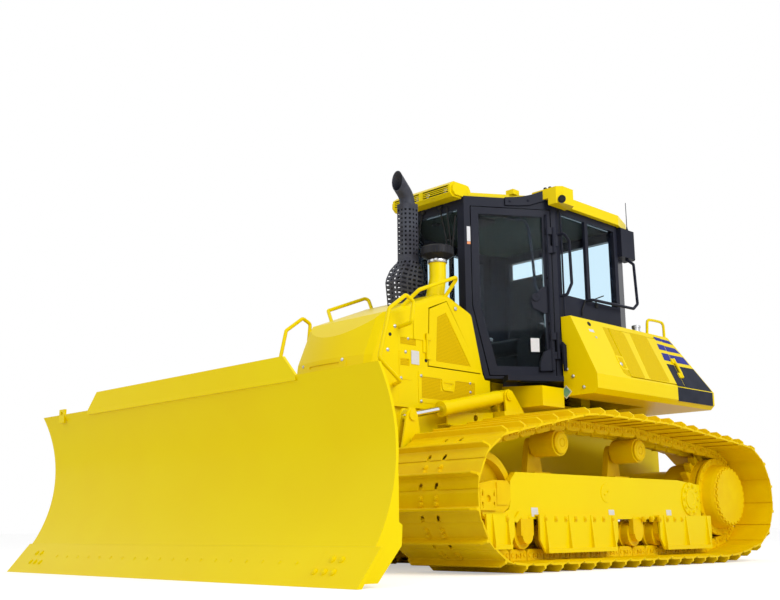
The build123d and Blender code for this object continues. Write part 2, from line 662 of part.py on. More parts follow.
def hood_section(inset):
    """Front view of hood and nose: upright sides and rounded top edges, for drawing out along a top line."""
    half = HOOD_HALF - inset
    turn = HOOD_ROUND - inset
    corner = [(half - turn + turn * math.sin(angle), -turn + turn * math.cos(angle))
              for angle in (math.pi / 2, math.pi / 3, math.pi / 6, 0)]
    return [(half, -HOOD_TOP_Z)] + corner + [(-y, z) for y, z in reversed(corner)] + [(-half, -HOOD_TOP_Z)]


def along_top(inset, start, end):
    """The hood's section drawn along one straight run of its top line, from start to end in side view."""
    (x0, z0), (x1, z1) = start, end
    face = Face(Wire.make_polygon([(x0, y, z0 - inset + z) for y, z in hood_section(inset)]))
    return extrude(face, amount=math.dist(start, end), dir=(x1 - x0, 0, z1 - z0))


def nose_plan(inset, x, z):
    """Plan of the nose's front at one height, its middle at x: cut corners and a front that bows forward."""
    i = inset
    corner_x = x - NOSE_BOW - i
    half = [(0.0, HOOD_HALF - i, z), (corner_x - 60, HOOD_HALF - i, z), (corner_x - 38, NOSE_HALF + 3 - i, z),
            (corner_x, NOSE_HALF - 34 - i, z)]
    right = [(px, -py, pz) for px, py, pz in half]
    edges = [Line(*ends) for ends in zip(half, half[1:])]
    edges += [ThreePointArc(half[-1], (x - i, 0, z), right[-1])]
    edges += [Line(*ends) for ends in zip(right[::-1], right[-2::-1])]
    return Face(Wire(edges + [Line(right[0], half[0])]))


def nose_body(inset):
    """The nose as a solid: a steep lower front and a slanted upper one, both bowed, under the hood's top line."""
    bow_x = NOSE_X + NOSE_BOW
    foot = nose_plan(inset, bow_x + NOSE_FOOT, HOOD_BOTTOM)
    rise = NOSE_FOLD_Z - HOOD_BOTTOM
    lower = extrude(foot, amount=math.hypot(NOSE_FOOT, rise), dir=(-NOSE_FOOT, 0, rise))
    back, up = NOSE_SLOPE
    fold = nose_plan(inset, bow_x, NOSE_FOLD_Z)
    upper = extrude(fold, amount=math.hypot(back, up) * 2, dir=(-back, 0, up))
    body = (lower + upper) & prism_y(hood_top(inset), -HOOD_HALF - 1, HOOD_HALF + 1)
    taper = [(0, HOOD_HALF - inset), (NOSE_SPLIT_X, HOOD_HALF - inset),
             (bow_x + NOSE_FOOT + 10, NOSE_HALF - 2 - inset)]
    body &= prism_z(taper + [(px, -py) for px, py in reversed(taper)], HOOD_BOTTOM - 1, HOOD_TOP_Z)
    brow = (NOSE_X - 172, NOSE_BROW_Z)
    top = (HOOD_TOP_X[1], HOOD_TOP_Z)
    run = (brow[0] + (brow[0] - top[0]), brow[1] + (brow[1] - top[1]))
    return body & along_top(inset, top, run)


def hood_body(inset):
    """The hood behind the nose as a solid, with its rounded top edges."""
    body = prism_y(hood_top(inset), -HOOD_HALF + inset, HOOD_HALF - inset)
    sill = block(0, NOSE_SPLIT_X, -HOOD_HALF, HOOD_HALF, HOOD_BOTTOM, HOOD_TOP_Z)
    crest = (HOOD_TOP_X[1], HOOD_TOP_Z)
    brow = (NOSE_X - 172, NOSE_BROW_Z)
    ahead = block(crest[0], NOSE_SPLIT_X + 1, -HOOD_HALF, HOOD_HALF, HOOD_BOTTOM, HOOD_TOP_Z)
    behind = block(0, crest[0], -HOOD_HALF, HOOD_HALF, HOOD_BOTTOM, HOOD_TOP_Z)
    rear = HOOD_REAR_EDGE[-1]
    knee = (HOOD_TOP_X[0], HOOD_TOP_Z)
    end = (knee[0] + 2 * (rear[0] - knee[0]), knee[1] + 2 * (rear[1] - knee[1]))
    slope = along_top(inset, knee, end) + along_top(inset, (knee[0] - 1, knee[1]), (crest[0] + 1, crest[1]))
    return body & sill & ((ahead & along_top(inset, crest, brow)) + (behind & slope))


def grown(outline, distance):
    """A convex outline moved outward by a distance."""
    cx = sum(x for x, z in outline) / len(outline)
    cz = sum(z for x, z in outline) / len(outline)
    return [(x + math.copysign(distance, x - cx), z + math.copysign(distance, z - cz)) for x, z in outline]


def make_hood():
    """Hood over the engine: side walls with the doorways of the engine doors, access covers, and the sloped top."""
    hood = hood_body(0) - hood_body(HOOD_WALL)
    hood -= block(HOOD_REAR_X, NOSE_SPLIT_X + 1, -HOOD_HALF + HOOD_WALL, HOOD_HALF - HOOD_WALL, 0,
                  HOOD_BOTTOM + 1)
    hood -= block(NOSE_SPLIT_X - RUNNING_GAP, NOSE_SPLIT_X + 2, -HOOD_HALF - 1, HOOD_HALF + 1, 0, HOOD_TOP_Z)
    doorway = grown(ENGINE_DOOR, DOOR_GAP)
    for side in (-1, 1):
        hood -= prism_y(doorway, side * (HOOD_HALF - HOOD_WALL - 1), side * (HOOD_HALF + 1))
        hood += hinge_knuckle(ENGINE_HINGE, side, (1600, 1700), True)
        for outline in (LOWER_COVER, FRONT_COVER):
            hood += prism_y(outline, side * (HOOD_HALF - 1), side * (HOOD_HALF + COVER_PROUD))
        for outline in (LOWER_MESH, FRONT_LOUVRE):
            hood -= prism_y(outline, side * (HOOD_HALF - 2), side * (HOOD_HALF + COVER_PROUD + 1))
        hood -= prism_y(UPPER_LOUVRE, side * (HOOD_HALF - 5), side * (HOOD_HALF + 1))
    return hood


def hinge_knuckle(axis, side, span, on_hood):
    """A hinge tube on the hood's side, with its strap to the hood or to the door."""
    x, y = axis
    z0, z1 = span
    tube = bar((x, side * y, z0), (x, side * y, z1), HINGE_RADIUS)
    if on_hood:
        return tube + block(x, x + 40, side * (HOOD_HALF - 1), side * (HOOD_HALF + 8), z0, z1)
    return tube + block(x - 50, x, side * (HOOD_HALF + DOOR_PROUD - 2), side * (HOOD_HALF + DOOR_PROUD + 8),
                        z0, z1)


def make_engine_door():
    """Left engine door: a flat panel with a recessed mesh window and its two hinge tubes."""
    inner, outer = HOOD_HALF - 14, HOOD_HALF + DOOR_PROUD
    door = prism_y(list(ENGINE_DOOR), inner, outer)
    door -= prism_y(list(ENGINE_DOOR_WINDOW), outer - 6, outer + 1)
    for z0, z1 in ((1550, 1600 - RUNNING_GAP), (1700 + RUNNING_GAP, 1750)):
        door += hinge_knuckle(ENGINE_HINGE, 1, (z0, z1), False)
    return door


def make_nose():
    """Nose cowl: the hood's tapered front part, closed by a front face that bows forward, with its vent plate."""
    nose = nose_body(0) - nose_body(HOOD_WALL)
    nose -= block(0, NOSE_SPLIT_X, -HOOD_HALF - 1, HOOD_HALF + 1, 0, HOOD_TOP_Z + 1)
    half, low, high = NOSE_VENT
    front = NOSE_X + NOSE_BOW + 80
    plate = nose_body(-COVER_PROUD) - nose_body(HOOD_WALL / 2)
    plate &= block(NOSE_X, front, -half, half, low, high)
    slot = block(NOSE_X, front, -half + 70, half - 70, high - 42, high - 22)
    slot &= nose_body(-COVER_PROUD - 1) - nose_body(HOOD_WALL / 2)
    return nose + plate - slot


def make_engine():
    """Engine: one plain block under the hood."""
    rear, half, height = ENGINE_SPAN
    return block(rear, NOSE_SPLIT_X - 70, -half, half, HOOD_BOTTOM, HOOD_BOTTOM + height)


def hood_clear():
    """The whole outside of hood and nose with a running gap, to trim what stands on it."""
    return hood_body(-RUNNING_GAP) + nose_body(-RUNNING_GAP)


def make_exhaust():
    """Exhaust stack: a tube from the hood whose elbow leans forward and ends in an upright, open mouth."""
    x, y = STACK
    corner_z = STACK_TOP - STACK_REACH
    end = (x + STACK_REACH + 120, y, STACK_TOP + 120)
    stack = bent_tube([(x, y, HOOD_TOP_Z - 80), (x, y, corner_z), end], STACK_RADIUS, 150)
    stack -= bent_tube([(x, y, corner_z - 320), (x, y, corner_z), end], STACK_RADIUS - STACK_WALL, 150)
    beyond = block(x + STACK_REACH, x + STACK_REACH + 300, y - 150, y + 150, STACK_TOP - 300, STACK_TOP + 300)
    return stack - beyond - hood_clear()


def make_exhaust_guard():
    """Guard round the stack: an eight-sided sleeve above and a box that flares forward below."""
    x, y = STACK
    top = STACK_TOP - STACK_GUARD_DROP
    waist = HOOD_TOP_Z + (STACK_TOP - HOOD_TOP_Z) * STACK_WAIST
    knee = HOOD_TOP_Z + (waist - HOOD_TOP_Z) * 0.45
    bottom = HOOD_TOP_Z - 100
    wall = 6.0

    def ring(radius):
        angles = [math.pi / 8 + index * math.pi / 4 for index in range(8)]
        return [(x + radius * math.cos(angle), y + radius * math.sin(angle)) for angle in angles]

    sleeve = prism_z(ring(STACK_GUARD), waist, top) - prism_z(ring(STACK_GUARD - wall), waist, top)
    flat = STACK_GUARD * math.cos(math.pi / 8)

    def flare(inset):
        i = inset
        return [(x - flat + i, bottom), (x + flat + 60 - i, bottom), (x + flat + 95 - i, knee),
                (x + flat - i, waist),
                (x - flat + i, waist)]

    lower = prism_y(flare(0), y - flat, y + flat) - prism_y(flare(wall), y - flat + wall, y + flat - wall)
    strap = block(x - flat + 1, x - STACK_RADIUS + 10, y - 15, y + 15, waist + 10, waist + 50)
    strap -= bar((x, y, bottom), (x, y, top), STACK_RADIUS + RUNNING_GAP)
    return (sleeve + lower + strap) - hood_clear()


def make_precleaner():
    """Air precleaner: the oblique intake duct, its neck and clamp band, and the wide round cap."""
    x, y = PRECLEANER
    waist, band, cap = HOOD_TOP_Z + 165, HOOD_TOP_Z + 285, HOOD_TOP_Z + 325
    foot = Plane(origin=(x + 30, y - 30, HOOD_TOP_Z - 90), z_dir=(0, 0, 1)) * Circle(80)
    head = Plane(origin=(x, y, waist), z_dir=(0, 0, 1)) * Circle(68)
    duct = Part() + loft([foot.face(), head.face()]) - hood_clear()
    upper = turned_up(x, y, [(waist, 68), (band, 68), (band, 74), (cap - 8, 74), (cap - 8, 66), (cap, 90),
                             (cap + 25, 128),
                             (cap + 32, 132), (cap + 88, 132), (cap + 98, 120)])
    return duct + upper


def make_grab_rails():
    """Grab rails on the hood: one round each front corner and one along each top edge."""
    radius = 15.0
    side = HOOD_HALF - 10
    corner = [(3218, side, 1763), (3234, 585, 1775), (3214, 590, 1937), (3294, 590, 1973), (3465, 590, 1849),
              (3561, 580, 1475), (3330, 560, 1335), (3263, side, 1328)]
    edge = [(3150, 395, 1930), (3080, 522, 2057), (2630, 522, 2236), (2670, 415, HOOD_TOP_Z - 10)]
    clear = hood_clear()
    return [rail for points in (corner, edge) for rail in pair(bent_tube(points, radius, 28) - clear)]


# Cab
def cab_plan(inset):
    """Plan of the six-sided cab, moved in by an inset."""
    i = inset
    half = [(CAB_FRONT[0] - i, CAB_FRONT[1] - i * 0.55), (CAB_SIDE_FRONT[0] - i * 0.3, CAB_SIDE_FRONT[1] - i),
            (CAB_SIDE_REAR[0] + i * 0.17, CAB_SIDE_REAR[1] - i), (CAB_REAR[0] + i, CAB_REAR[1] - i * 0.7)]
    return half + [(x, -y) for x, y in reversed(half)]


def door_plane():
    """The left door's plane: a to the rear along the door, b up, normal outward."""
    along = Vector(CAB_SIDE_FRONT[0] - CAB_FRONT[0], CAB_SIDE_FRONT[1] - CAB_FRONT[1], 0).normalized()
    return Plane(origin=(CAB_FRONT[0], CAB_FRONT[1], 0), x_dir=along, z_dir=Vector(0, 0, 1).cross(along) * -1)


def door_outline(grow):
    """Left door: upright edges, with the front edge slanted back below the hood's line."""
    g = grow
    high = WINDOW_HIGH + 10
    return [(60 - g, high + g), (60 - g, DOOR_BEND_Z), (190 - g, DOOR_LOW - g),
            (DOOR_LENGTH - 50 + g, DOOR_LOW - g),
            (DOOR_LENGTH - 50 + g, high + g)]


def door_pane(grow):
    """The pane's opening in the left door."""
    g = grow
    high = WINDOW_HIGH - 50
    return [(125 - g, high + g), (125 - g, DOOR_BEND_Z), (250 - g, DOOR_LOW + 75 - g),
            (DOOR_LENGTH - 120 + g, DOOR_LOW + 75 - g),
            (DOOR_LENGTH - 120 + g, high + g)]


def make_cab_frame():
    """Cab frame: posts at the corners, sill and head rails, walls below the windows, mullions, corner boxes."""
    shell = prism_z(cab_plan(0), CAB_FLOOR_Z, CAB_ROOF_Z)
    shell -= prism_z(cab_plan(CAB_WALL), CAB_FLOOR_Z + CAB_FLOOR_THICK, CAB_ROOF_Z + 1)
    front, rear = CAB_FRONT[0], CAB_REAR[0]
    x0, x1 = side_window()
    screen_half, rear_half = CAB_FRONT[1] - SCREEN_POST, CAB_REAR[1] - REAR_POST
    shell -= block(front - 200, front + 100, -screen_half, screen_half, WINDSCREEN_LOW, WINDOW_HIGH)
    shell -= block(rear - 100, rear + 150, -rear_half, rear_half, WINDOW_LOW, WINDOW_HIGH)
    side_y = CAB_SIDE_REAR[1]
    for side in (-1, 1):
        shell -= block(x0, x1, side * (side_y - CAB_WALL - 10), side * (side_y + 10), WINDOW_LOW, WINDOW_HIGH)
    doorway = plane_prism(door_plane(), door_outline(DOOR_GAP), -130, 60)
    shell = shell - doorway - mirrored(doorway)
    foot_x = front - SCREEN_LEAN
    slope = [(front + 200, CAB_FLOOR_Z - 10), (foot_x, CAB_FLOOR_Z - 10), (front + 10, WINDSCREEN_LOW),
             (front + 200, WINDSCREEN_LOW)]
    shell -= prism_y(slope, -side_y, side_y)
    lean = [(foot_x - CAB_WALL, CAB_FLOOR_Z), (foot_x, CAB_FLOOR_Z), (front + 10, WINDSCREEN_LOW),
            (front + 10 - CAB_WALL, WINDSCREEN_LOW)]
    shell += prism_y(lean, -CAB_FRONT[1] + 8, CAB_FRONT[1] - 8)
    bx0, bx1, inner, outer, bz0, bz1 = CORNER_BOX
    for side in (-1, 1):
        shell += block(MULLION_X - 22, MULLION_X + 22, side * (side_y - CAB_WALL / 2 + 2), side * side_y,
                       WINDOW_LOW - 1, WINDOW_HIGH + 1)
        shell += prism_z([(bx0, side * inner), (bx1, side * inner), (bx1, side * outer),
                          (bx0 + 30, side * outer),
                          (bx0, side * (outer - 30))], bz0, bz1)
        for z0, z1 in CAB_HINGE_POSTS:
            shell += cab_hinge_post(side, z0, z1)
    return shell


def side_window():
    """Where a side window behind the door starts and ends."""
    return CAB_SIDE_REAR[0] + 48, CAB_SIDE_FRONT[0] - 55


def cab_hinge_point():
    """Plan position of the left door's hinge line, just outside its rear edge."""
    point = door_plane().from_local_coords((DOOR_LENGTH - 30, 0, CAB_HINGE_REACH))
    return point.X, point.Y


def cab_hinge_post(side, z0, z1):
    """A hinge tube carried by the rear door post."""
    x, y = cab_hinge_point()
    tube = bar((x, side * y, z0), (x, side * y, z1), CAB_HINGE_RADIUS)
    plane = door_plane()
    arm = plane_prism(plane, [(DOOR_LENGTH - 32, z0), (DOOR_LENGTH + 2, z0), (DOOR_LENGTH + 2, z1),
                              (DOOR_LENGTH - 32, z1)], -12, CAB_HINGE_REACH + 6)
    return tube + (arm if side > 0 else mirrored(arm))


def make_cab_door():
    """Left cab door: a frame round one tall pane, with hinge tubes and a handle."""
    plane = door_plane()
    door = plane_prism(plane, door_outline(0), -DOOR_THICK, 0)
    door -= plane_prism(plane, door_pane(0), -DOOR_THICK - 1, 1)
    x, y = cab_hinge_point()
    spans = [span for low, high in CAB_HINGE_POSTS
             for span in ((low - 60, low - RUNNING_GAP), (high + RUNNING_GAP, high + 60))]
    for z0, z1 in spans:
        for a0, a1, inner in ((DOOR_LENGTH - 90, DOOR_LENGTH - 52, -4),
                              (DOOR_LENGTH - 53, DOOR_LENGTH - 30, 4)):
            door += plane_prism(plane, [(a0, z0), (a1, z0), (a1, z1), (a0, z1)], inner, CAB_HINGE_REACH + 4)
        door += bar((x, y, z0), (x, y, z1), CAB_HINGE_RADIUS)
    return door


def make_door_glass():
    """The pane of the left cab door."""
    middle = -DOOR_THICK / 2
    return plane_prism(door_plane(), door_pane(-RUNNING_GAP), middle - GLASS_THICK / 2,
                       middle + GLASS_THICK / 2)


def make_cab_glass():
    """Fixed panes: windscreen, rear window and the side windows behind the doors."""
    g = RUNNING_GAP
    front, rear = CAB_FRONT[0] - CAB_WALL / 2, CAB_REAR[0] + CAB_WALL / 2
    screen_half, rear_half = CAB_FRONT[1] - SCREEN_POST - g, CAB_REAR[1] - REAR_POST - g
    side_y = CAB_SIDE_REAR[1] - CAB_WALL / 2
    x0, x1 = side_window()
    return [
        block(front - GLASS_THICK, front, -screen_half, screen_half, WINDSCREEN_LOW + g, WINDOW_HIGH - g),
        block(rear, rear + GLASS_THICK, -rear_half, rear_half, WINDOW_LOW + g, WINDOW_HIGH - g),
        *pair(block(x0 + g, x1 - g, side_y - GLASS_THICK, side_y, WINDOW_LOW + g, WINDOW_HIGH - g)),
    ]


def make_cab_roof():
    """Roof: a thin slab with a low crown, the skirt round its rear, the barred lamp housing and two side pods."""
    low = CAB_ROOF_Z + RUNNING_GAP
    px0, px1, inner, outer, pod_low, pod_top = POD
    edge = CAB_SIDE_FRONT[1] + 50
    front_x, side_x = ROOF_FRONT_X, CAB_SIDE_FRONT[0] + 70
    half = [(front_x, CAB_FRONT[1] - 28), (side_x, edge - 144), (side_x, edge), (CAB_SIDE_REAR[0] + 30, edge),
            (CAB_REAR[0] - 22, CAB_REAR[1] + 46)]
    plan = half + [(x, -y) for x, y in reversed(half)]
    roof = prism_z(plan, low, ROOF_TOP_Z)
    middle = (CAB_FRONT[0] + CAB_REAR[0]) / 2
    roof += prism_z([(middle + (x - middle) * 0.87, y * 0.86) for x, y in plan], ROOF_TOP_Z - 1,
                    ROOF_TOP_Z + ROOF_CROWN)
    skirt = prism_z(plan, ROOF_SKIRT_Z, low + 1) - prism_z(cab_plan(-6), ROOF_SKIRT_Z - 1, low + 2)
    roof += skirt - block(px0, front_x + 100, -outer, outer, ROOF_SKIRT_Z - 1, low + 2)
    roof += lamp_housing()
    step = CAB_SIDE_FRONT[1] + 6
    for side in (-1, 1):
        pod = [(px0, side * inner), (px1, side * inner), (px1, side * (outer - 40)), (px1 - 40, side * outer),
               (px0 + 40, side * outer), (px0, side * (outer - 40))]
        roof += prism_z(pod, low, pod_top) + (prism_z(pod, pod_low, low + 1) - block(0, px1 + 1, 0,
                                                                                     side * step, 0, low + 2))
    beacon_x, beacon_y = BEACON
    roof += block(beacon_x - 40, beacon_x + 40, beacon_y - 40, beacon_y + 40, ROOF_TOP_Z - 1, ROOF_TOP_Z + 42)
    return roof


def lamp_housing():
    """The long lamp housing over the windscreen: rounded ends, two openings with level bars across them."""
    low = CAB_ROOF_Z + RUNNING_GAP
    rear_x, lip_x = ROOF_FRONT_X - 80, CAB_FRONT[0] + 1
    top, front = LAMP_TOP_Z, LAMP_FRONT_X

    def side_view(inset):
        i = inset
        return [(rear_x + i, low), (lip_x, low), (lip_x, LAMP_LOW_Z + i), (front - 30 - i, LAMP_LOW_Z + i),
                (front - i, LAMP_LOW_Z + 28 + i), (front - i, top - 34 - i), (front - 45 - i, top - i),
                (rear_x + 40, top - i),
                (rear_x + i, top - 40 - i)]

    housing = prism_y(side_view(0), -LAMP_HALF, LAMP_HALF) + prism_y(side_view(14), -LAMP_HALF - 22,
                                                                     LAMP_HALF + 22)
    z0, z1 = LAMP_LOW_Z + 34, LAMP_TOP_Z - 38
    for side in (-1, 1):
        housing -= block(front - 70, front + 1, side * 22, side * (LAMP_HALF - 22), z0, z1)
        for index in range(LAMP_BARS):
            z = z0 + (z1 - z0) * (index + 1) / (LAMP_BARS + 1)
            housing += block(front - 9, front, side * 21, side * (LAMP_HALF - 21), z - 3.5, z + 3.5)
    return housing


def make_cab_interior():
    """Inside the cab: floor plinth, side consoles with arm rests, dash, its column, and the control levers."""
    base = CAB_FLOOR_Z + CAB_FLOOR_THICK + RUNNING_GAP
    floor = block(900, 2120, -300, 300, base, base + 30)
    console = [(950, base), (1640, base), (1640, base + 330), (1560, base + 440), (1000, base + 470),
               (950, base + 430)]
    for side in (-1, 1):
        floor += prism_y(console, side * 299, side * 540)
        floor += block(1080, 1520, side * 330, side * 440, base + 430, base + 520)
        lever = (1560, side * 400, base + 420)
        floor += bar(lever, (1590, side * 400, base + 560), 16) + bar((1590, side * 400, base + 555),
                                                                      (1600, side * 400, base + 640), 30)
    dash = [(2030, base), (2115, base), (2200, base + 420), (2185, base + 560), (2110, base + 575),
            (2080, base + 430)]
    return floor + prism_y(dash, -230, 230)


def make_seat():
    """Operator's seat: pedestal, cushion and back rest."""
    base = CAB_FLOOR_Z + 60 + 2 * RUNNING_GAP
    seat = block(1080, 1480, -150, 150, base, 1780)
    seat += block(1030, 1560, -250, 250, 1780, 1930)
    return seat + prism_y([(1010, 1900), (1150, 1930), (1060, 2620), (960, 2620)], -240, 240)


def make_cab_steps():
    """Black sill steps that stand out under the doors, each with its hanging bracket."""
    plane = door_plane()

    def tread(a0, a1, reach, z0, z1):
        corners = [plane.from_local_coords((a, 0, out)) for a,
                   out in ((a0, 1), (a1, 1), (a1, reach), (a0, reach))]
        return prism_z([(p.X, p.Y) for p in corners], z0, z1)

    step = tread(300, 770, 120, CAB_FLOOR_Z - 28, DOOR_LOW - 14) + tread(420, 640, 90, DECK[2] + 4,
                                                                         CAB_FLOOR_Z - 27)
    return pair(step)


def make_grab_bars():
    """Grab bars outside the cab: one before each side window and one round each rear corner, bent from tube."""
    face = CAB_SIDE_REAR[1]
    x0, x1 = side_window()
    out = face + 52
    window = [(x1 + 25, face - 15, 2705), (x1 + 18, out, 2716), (x1 - 55, out, 2660), (x1 - 66, out, 2295),
              (x1 + 8, out, 2185),
              (x1 + 25, face - 15, 2180)]
    box_x, box_y = CORNER_BOX[0] + 120, CORNER_BOX[3] - 40
    corner = [(box_x, box_y, CORNER_BOX[4] - 2), (box_x - 8, out + 12, CORNER_BOX[4] - 60),
              (584, out + 12, 2260),
              (655, out + 12, WINDOW_LOW + 6), (1290, out + 12, WINDOW_LOW - 8),
              (1310, face - 15, WINDOW_LOW - 10)]
    x0, x1, y0, y1, z0, z1 = CORNER_BOX
    box = block(x0, x1, y0, y1, z0 - RUNNING_GAP, z1)
    clear = prism_z(cab_plan(-RUNNING_GAP), CAB_FLOOR_Z, CAB_ROOF_Z) + box + mirrored(box)
    return [bar_piece for points in (window, corner) for bar_piece in pair(bent_tube(points, 13.0,
                                                                                     22) - clear)]


def make_antenna():
    """Whip antenna on the left rear corner box: a stepped base and a thin rod."""
    x, y, top = ANTENNA
    foot = CORNER_BOX[5] + RUNNING_GAP
    return turned_up(x, y, [(foot, 11), (foot + 30, 11), (foot + 40, 7), (foot + 60, 4), (top, 3)])


# Rear body
def body_section():
    """Front view of the left side body: leaning side, short upright foot, flat bottom."""
    inner = BODY_INNER_Y + RUNNING_GAP
    return [(inner, BODY_BOTTOM_Z), (BODY_LOW_Y - 40, BODY_BOTTOM_Z), (BODY_LOW_Y, BODY_BOTTOM_Z + 40),
            (BODY_LOW_Y, BODY_FOLD_Z),
            (BODY_TOP_Y, BODY_TOP_Z), (inner, BODY_TOP_Z)]


def body_rear_cut():
    """What the slanted rear edge takes off the rear body."""
    return [(BODY_REAR_LOW_X - 10, BODY_FOLD_Z), (BODY_REAR_LOW_X, BODY_FOLD_Z),
            (BODY_REAR_TOP_X, BODY_TOP_Z),
            (BODY_REAR_TOP_X, BODY_TOP_Z + 10), (BODY_REAR_LOW_X - 10, BODY_TOP_Z + 10)]


def make_side_body():
    """Left side body beside and behind the cab."""
    body = prism_x(body_section(), BODY_REAR_LOW_X, BODY_FRONT_X)
    body -= block(CAB_REAR[0] - 20, BODY_FRONT_X + 10, 0, CAB_SIDE_REAR[1] + 12, BODY_BOTTOM_Z - 10,
                  BODY_TOP_Z + 10)
    body -= prism_y(body_rear_cut(), 0, BODY_LOW_Y + 10)
    body -= body_door_prism(grow=DOOR_GAP, inner=-30, outer=30)
    return body + body_hinge((150, 250), True)


def body_face_plane():
    """The leaning face of the left side body: a to the front, b up the slope, normal outward."""
    up = Vector(0, BODY_TOP_Y - BODY_LOW_Y, BODY_TOP_Z - BODY_FOLD_Z).normalized()
    return Plane(origin=(0, BODY_LOW_Y, BODY_FOLD_Z), x_dir=(-1, 0, 0), z_dir=Vector(-1, 0, 0).cross(up))


def body_door_prism(grow, inner, outer):
    """The side door's outline on the leaning face, between two depths."""
    x0, x1, b0, b1 = BODY_DOOR
    g = grow
    outline = [(-x0 + g, b0 - g), (-x1 - g, b0 - g), (-x1 - g, b1 + g), (-x0 + g, b1 + g)]
    return plane_prism(body_face_plane(), outline, inner, outer)


def body_hinge_point(b):
    """A point of the left side door's hinge line, at height b up the slope."""
    return body_face_plane().from_local_coords((-BODY_DOOR[0] + 24, b, BODY_HINGE_OUT))


def body_hinge(span, on_body):
    """A hinge tube behind the side door, with its strap to the body or to the door."""
    b0, b1 = span
    tube = bar(tuple(body_hinge_point(b0)), tuple(body_hinge_point(b1)), HINGE_RADIUS)
    a = -BODY_DOOR[0] + 24
    if on_body:
        strap = [(a, b0), (a + 34, b0), (a + 34, b1), (a, b1)]
        return tube + plane_prism(body_face_plane(), strap, -1, BODY_HINGE_OUT)
    strap = [(a - 50, b0), (a, b0), (a, b1), (a - 50, b1)]
    return tube + plane_prism(body_face_plane(), strap, 2, BODY_HINGE_OUT)


def make_body_door():
    """Left service door on the leaning face."""
    door = body_door_prism(grow=0, inner=-20, outer=4)
    for span in ((100, 150 - RUNNING_GAP), (250 + RUNNING_GAP, 300)):
        door += body_hinge(span, False)
    return door


def make_rear_body():
    """Centre of the rear body: the radiator housing behind the cab, between the side bodies."""
    front = CAB_REAR[0] - 20 - RUNNING_GAP
    outline = [(front, BODY_BOTTOM_Z), (front, BODY_TOP_Z), (BODY_REAR_TOP_X, BODY_TOP_Z),
               (BODY_REAR_LOW_X, BODY_FOLD_Z), (BODY_REAR_LOW_X, BODY_BOTTOM_Z)]
    body = prism_y(outline, -BODY_INNER_Y, BODY_INNER_Y)
    plane = grille_plane()
    recess = plane_prism(plane, [(-408, 12), (408, 12), (408, GRILLE_LENGTH + 28), (-408,
                                                                                    GRILLE_LENGTH + 28)], -40,
                                                                                    1)
    return body - recess + grille_hinge((-60, 60))


def grille_plane():
    """The slanted rear face: a to the right, b up the slope, normal outward."""
    up = Vector(BODY_REAR_TOP_X - BODY_REAR_LOW_X, 0, BODY_TOP_Z - BODY_FOLD_Z).normalized()
    return Plane(origin=(BODY_REAR_LOW_X, 0, BODY_FOLD_Z), x_dir=(0, -1, 0), z_dir=Vector(0, -1, 0).cross(up))


def grille_hinge_point(a):
    """A point of the grille's hinge line, above its top edge."""
    return grille_plane().from_local_coords((a, GRILLE_LENGTH + 40, 14))


def grille_hinge(span):
    """A hinge tube on the rear body above the grille."""
    a0, a1 = span
    tube = bar(tuple(grille_hinge_point(a0)), tuple(grille_hinge_point(a1)), HINGE_RADIUS)
    strap = [(a0, GRILLE_LENGTH + 38), (a1, GRILLE_LENGTH + 38), (a1, GRILLE_LENGTH + 66),
             (a0, GRILLE_LENGTH + 66)]
    return tube + plane_prism(grille_plane(), strap, -1, 14)


def make_rear_grille():
    """Rear grille: a framed louvre door in the slanted rear face, hinged above its top edge."""
    plane = grille_plane()
    grille = plane_prism(plane, [(-400, 20), (400, 20), (400, 20 + GRILLE_LENGTH), (-400,
                                                                                    20 + GRILLE_LENGTH)], -34,
                                                                                    6)
    slots = 9
    pitch = (GRILLE_LENGTH - 80) / slots
    for index in range(slots):
        b = 60 + index * pitch
        grille -= plane_prism(plane, [(-350, b), (350, b), (350, b + pitch * 0.6), (-350, b + pitch * 0.6)],
                              -35, 7)
    for a0, a1 in ((-120, -60 - RUNNING_GAP), (60 + RUNNING_GAP, 120)):
        strap = [(a0, GRILLE_LENGTH - 10), (a1, GRILLE_LENGTH - 10), (a1, GRILLE_LENGTH + 42),
                 (a0, GRILLE_LENGTH + 42)]
        grille += plane_prism(plane, strap, 4, 16)
        grille += bar(tuple(grille_hinge_point(a0)), tuple(grille_hinge_point(a1)), HINGE_RADIUS)
    return grille


def make_fender_decks():
    """Decks between cab and track under the doors: a box with a sloped top and the lip along its outer edge."""
    inner = HULL_HALF + RUNNING_GAP
    outer, low, high = DECK
    section = [(inner, low), (outer, low), (outer, high - 30), (outer - 25, high - 28), (inner, high)]
    return pair(prism_x(section, BODY_FRONT_X + RUNNING_GAP, BODY_FRONT_X + 288))


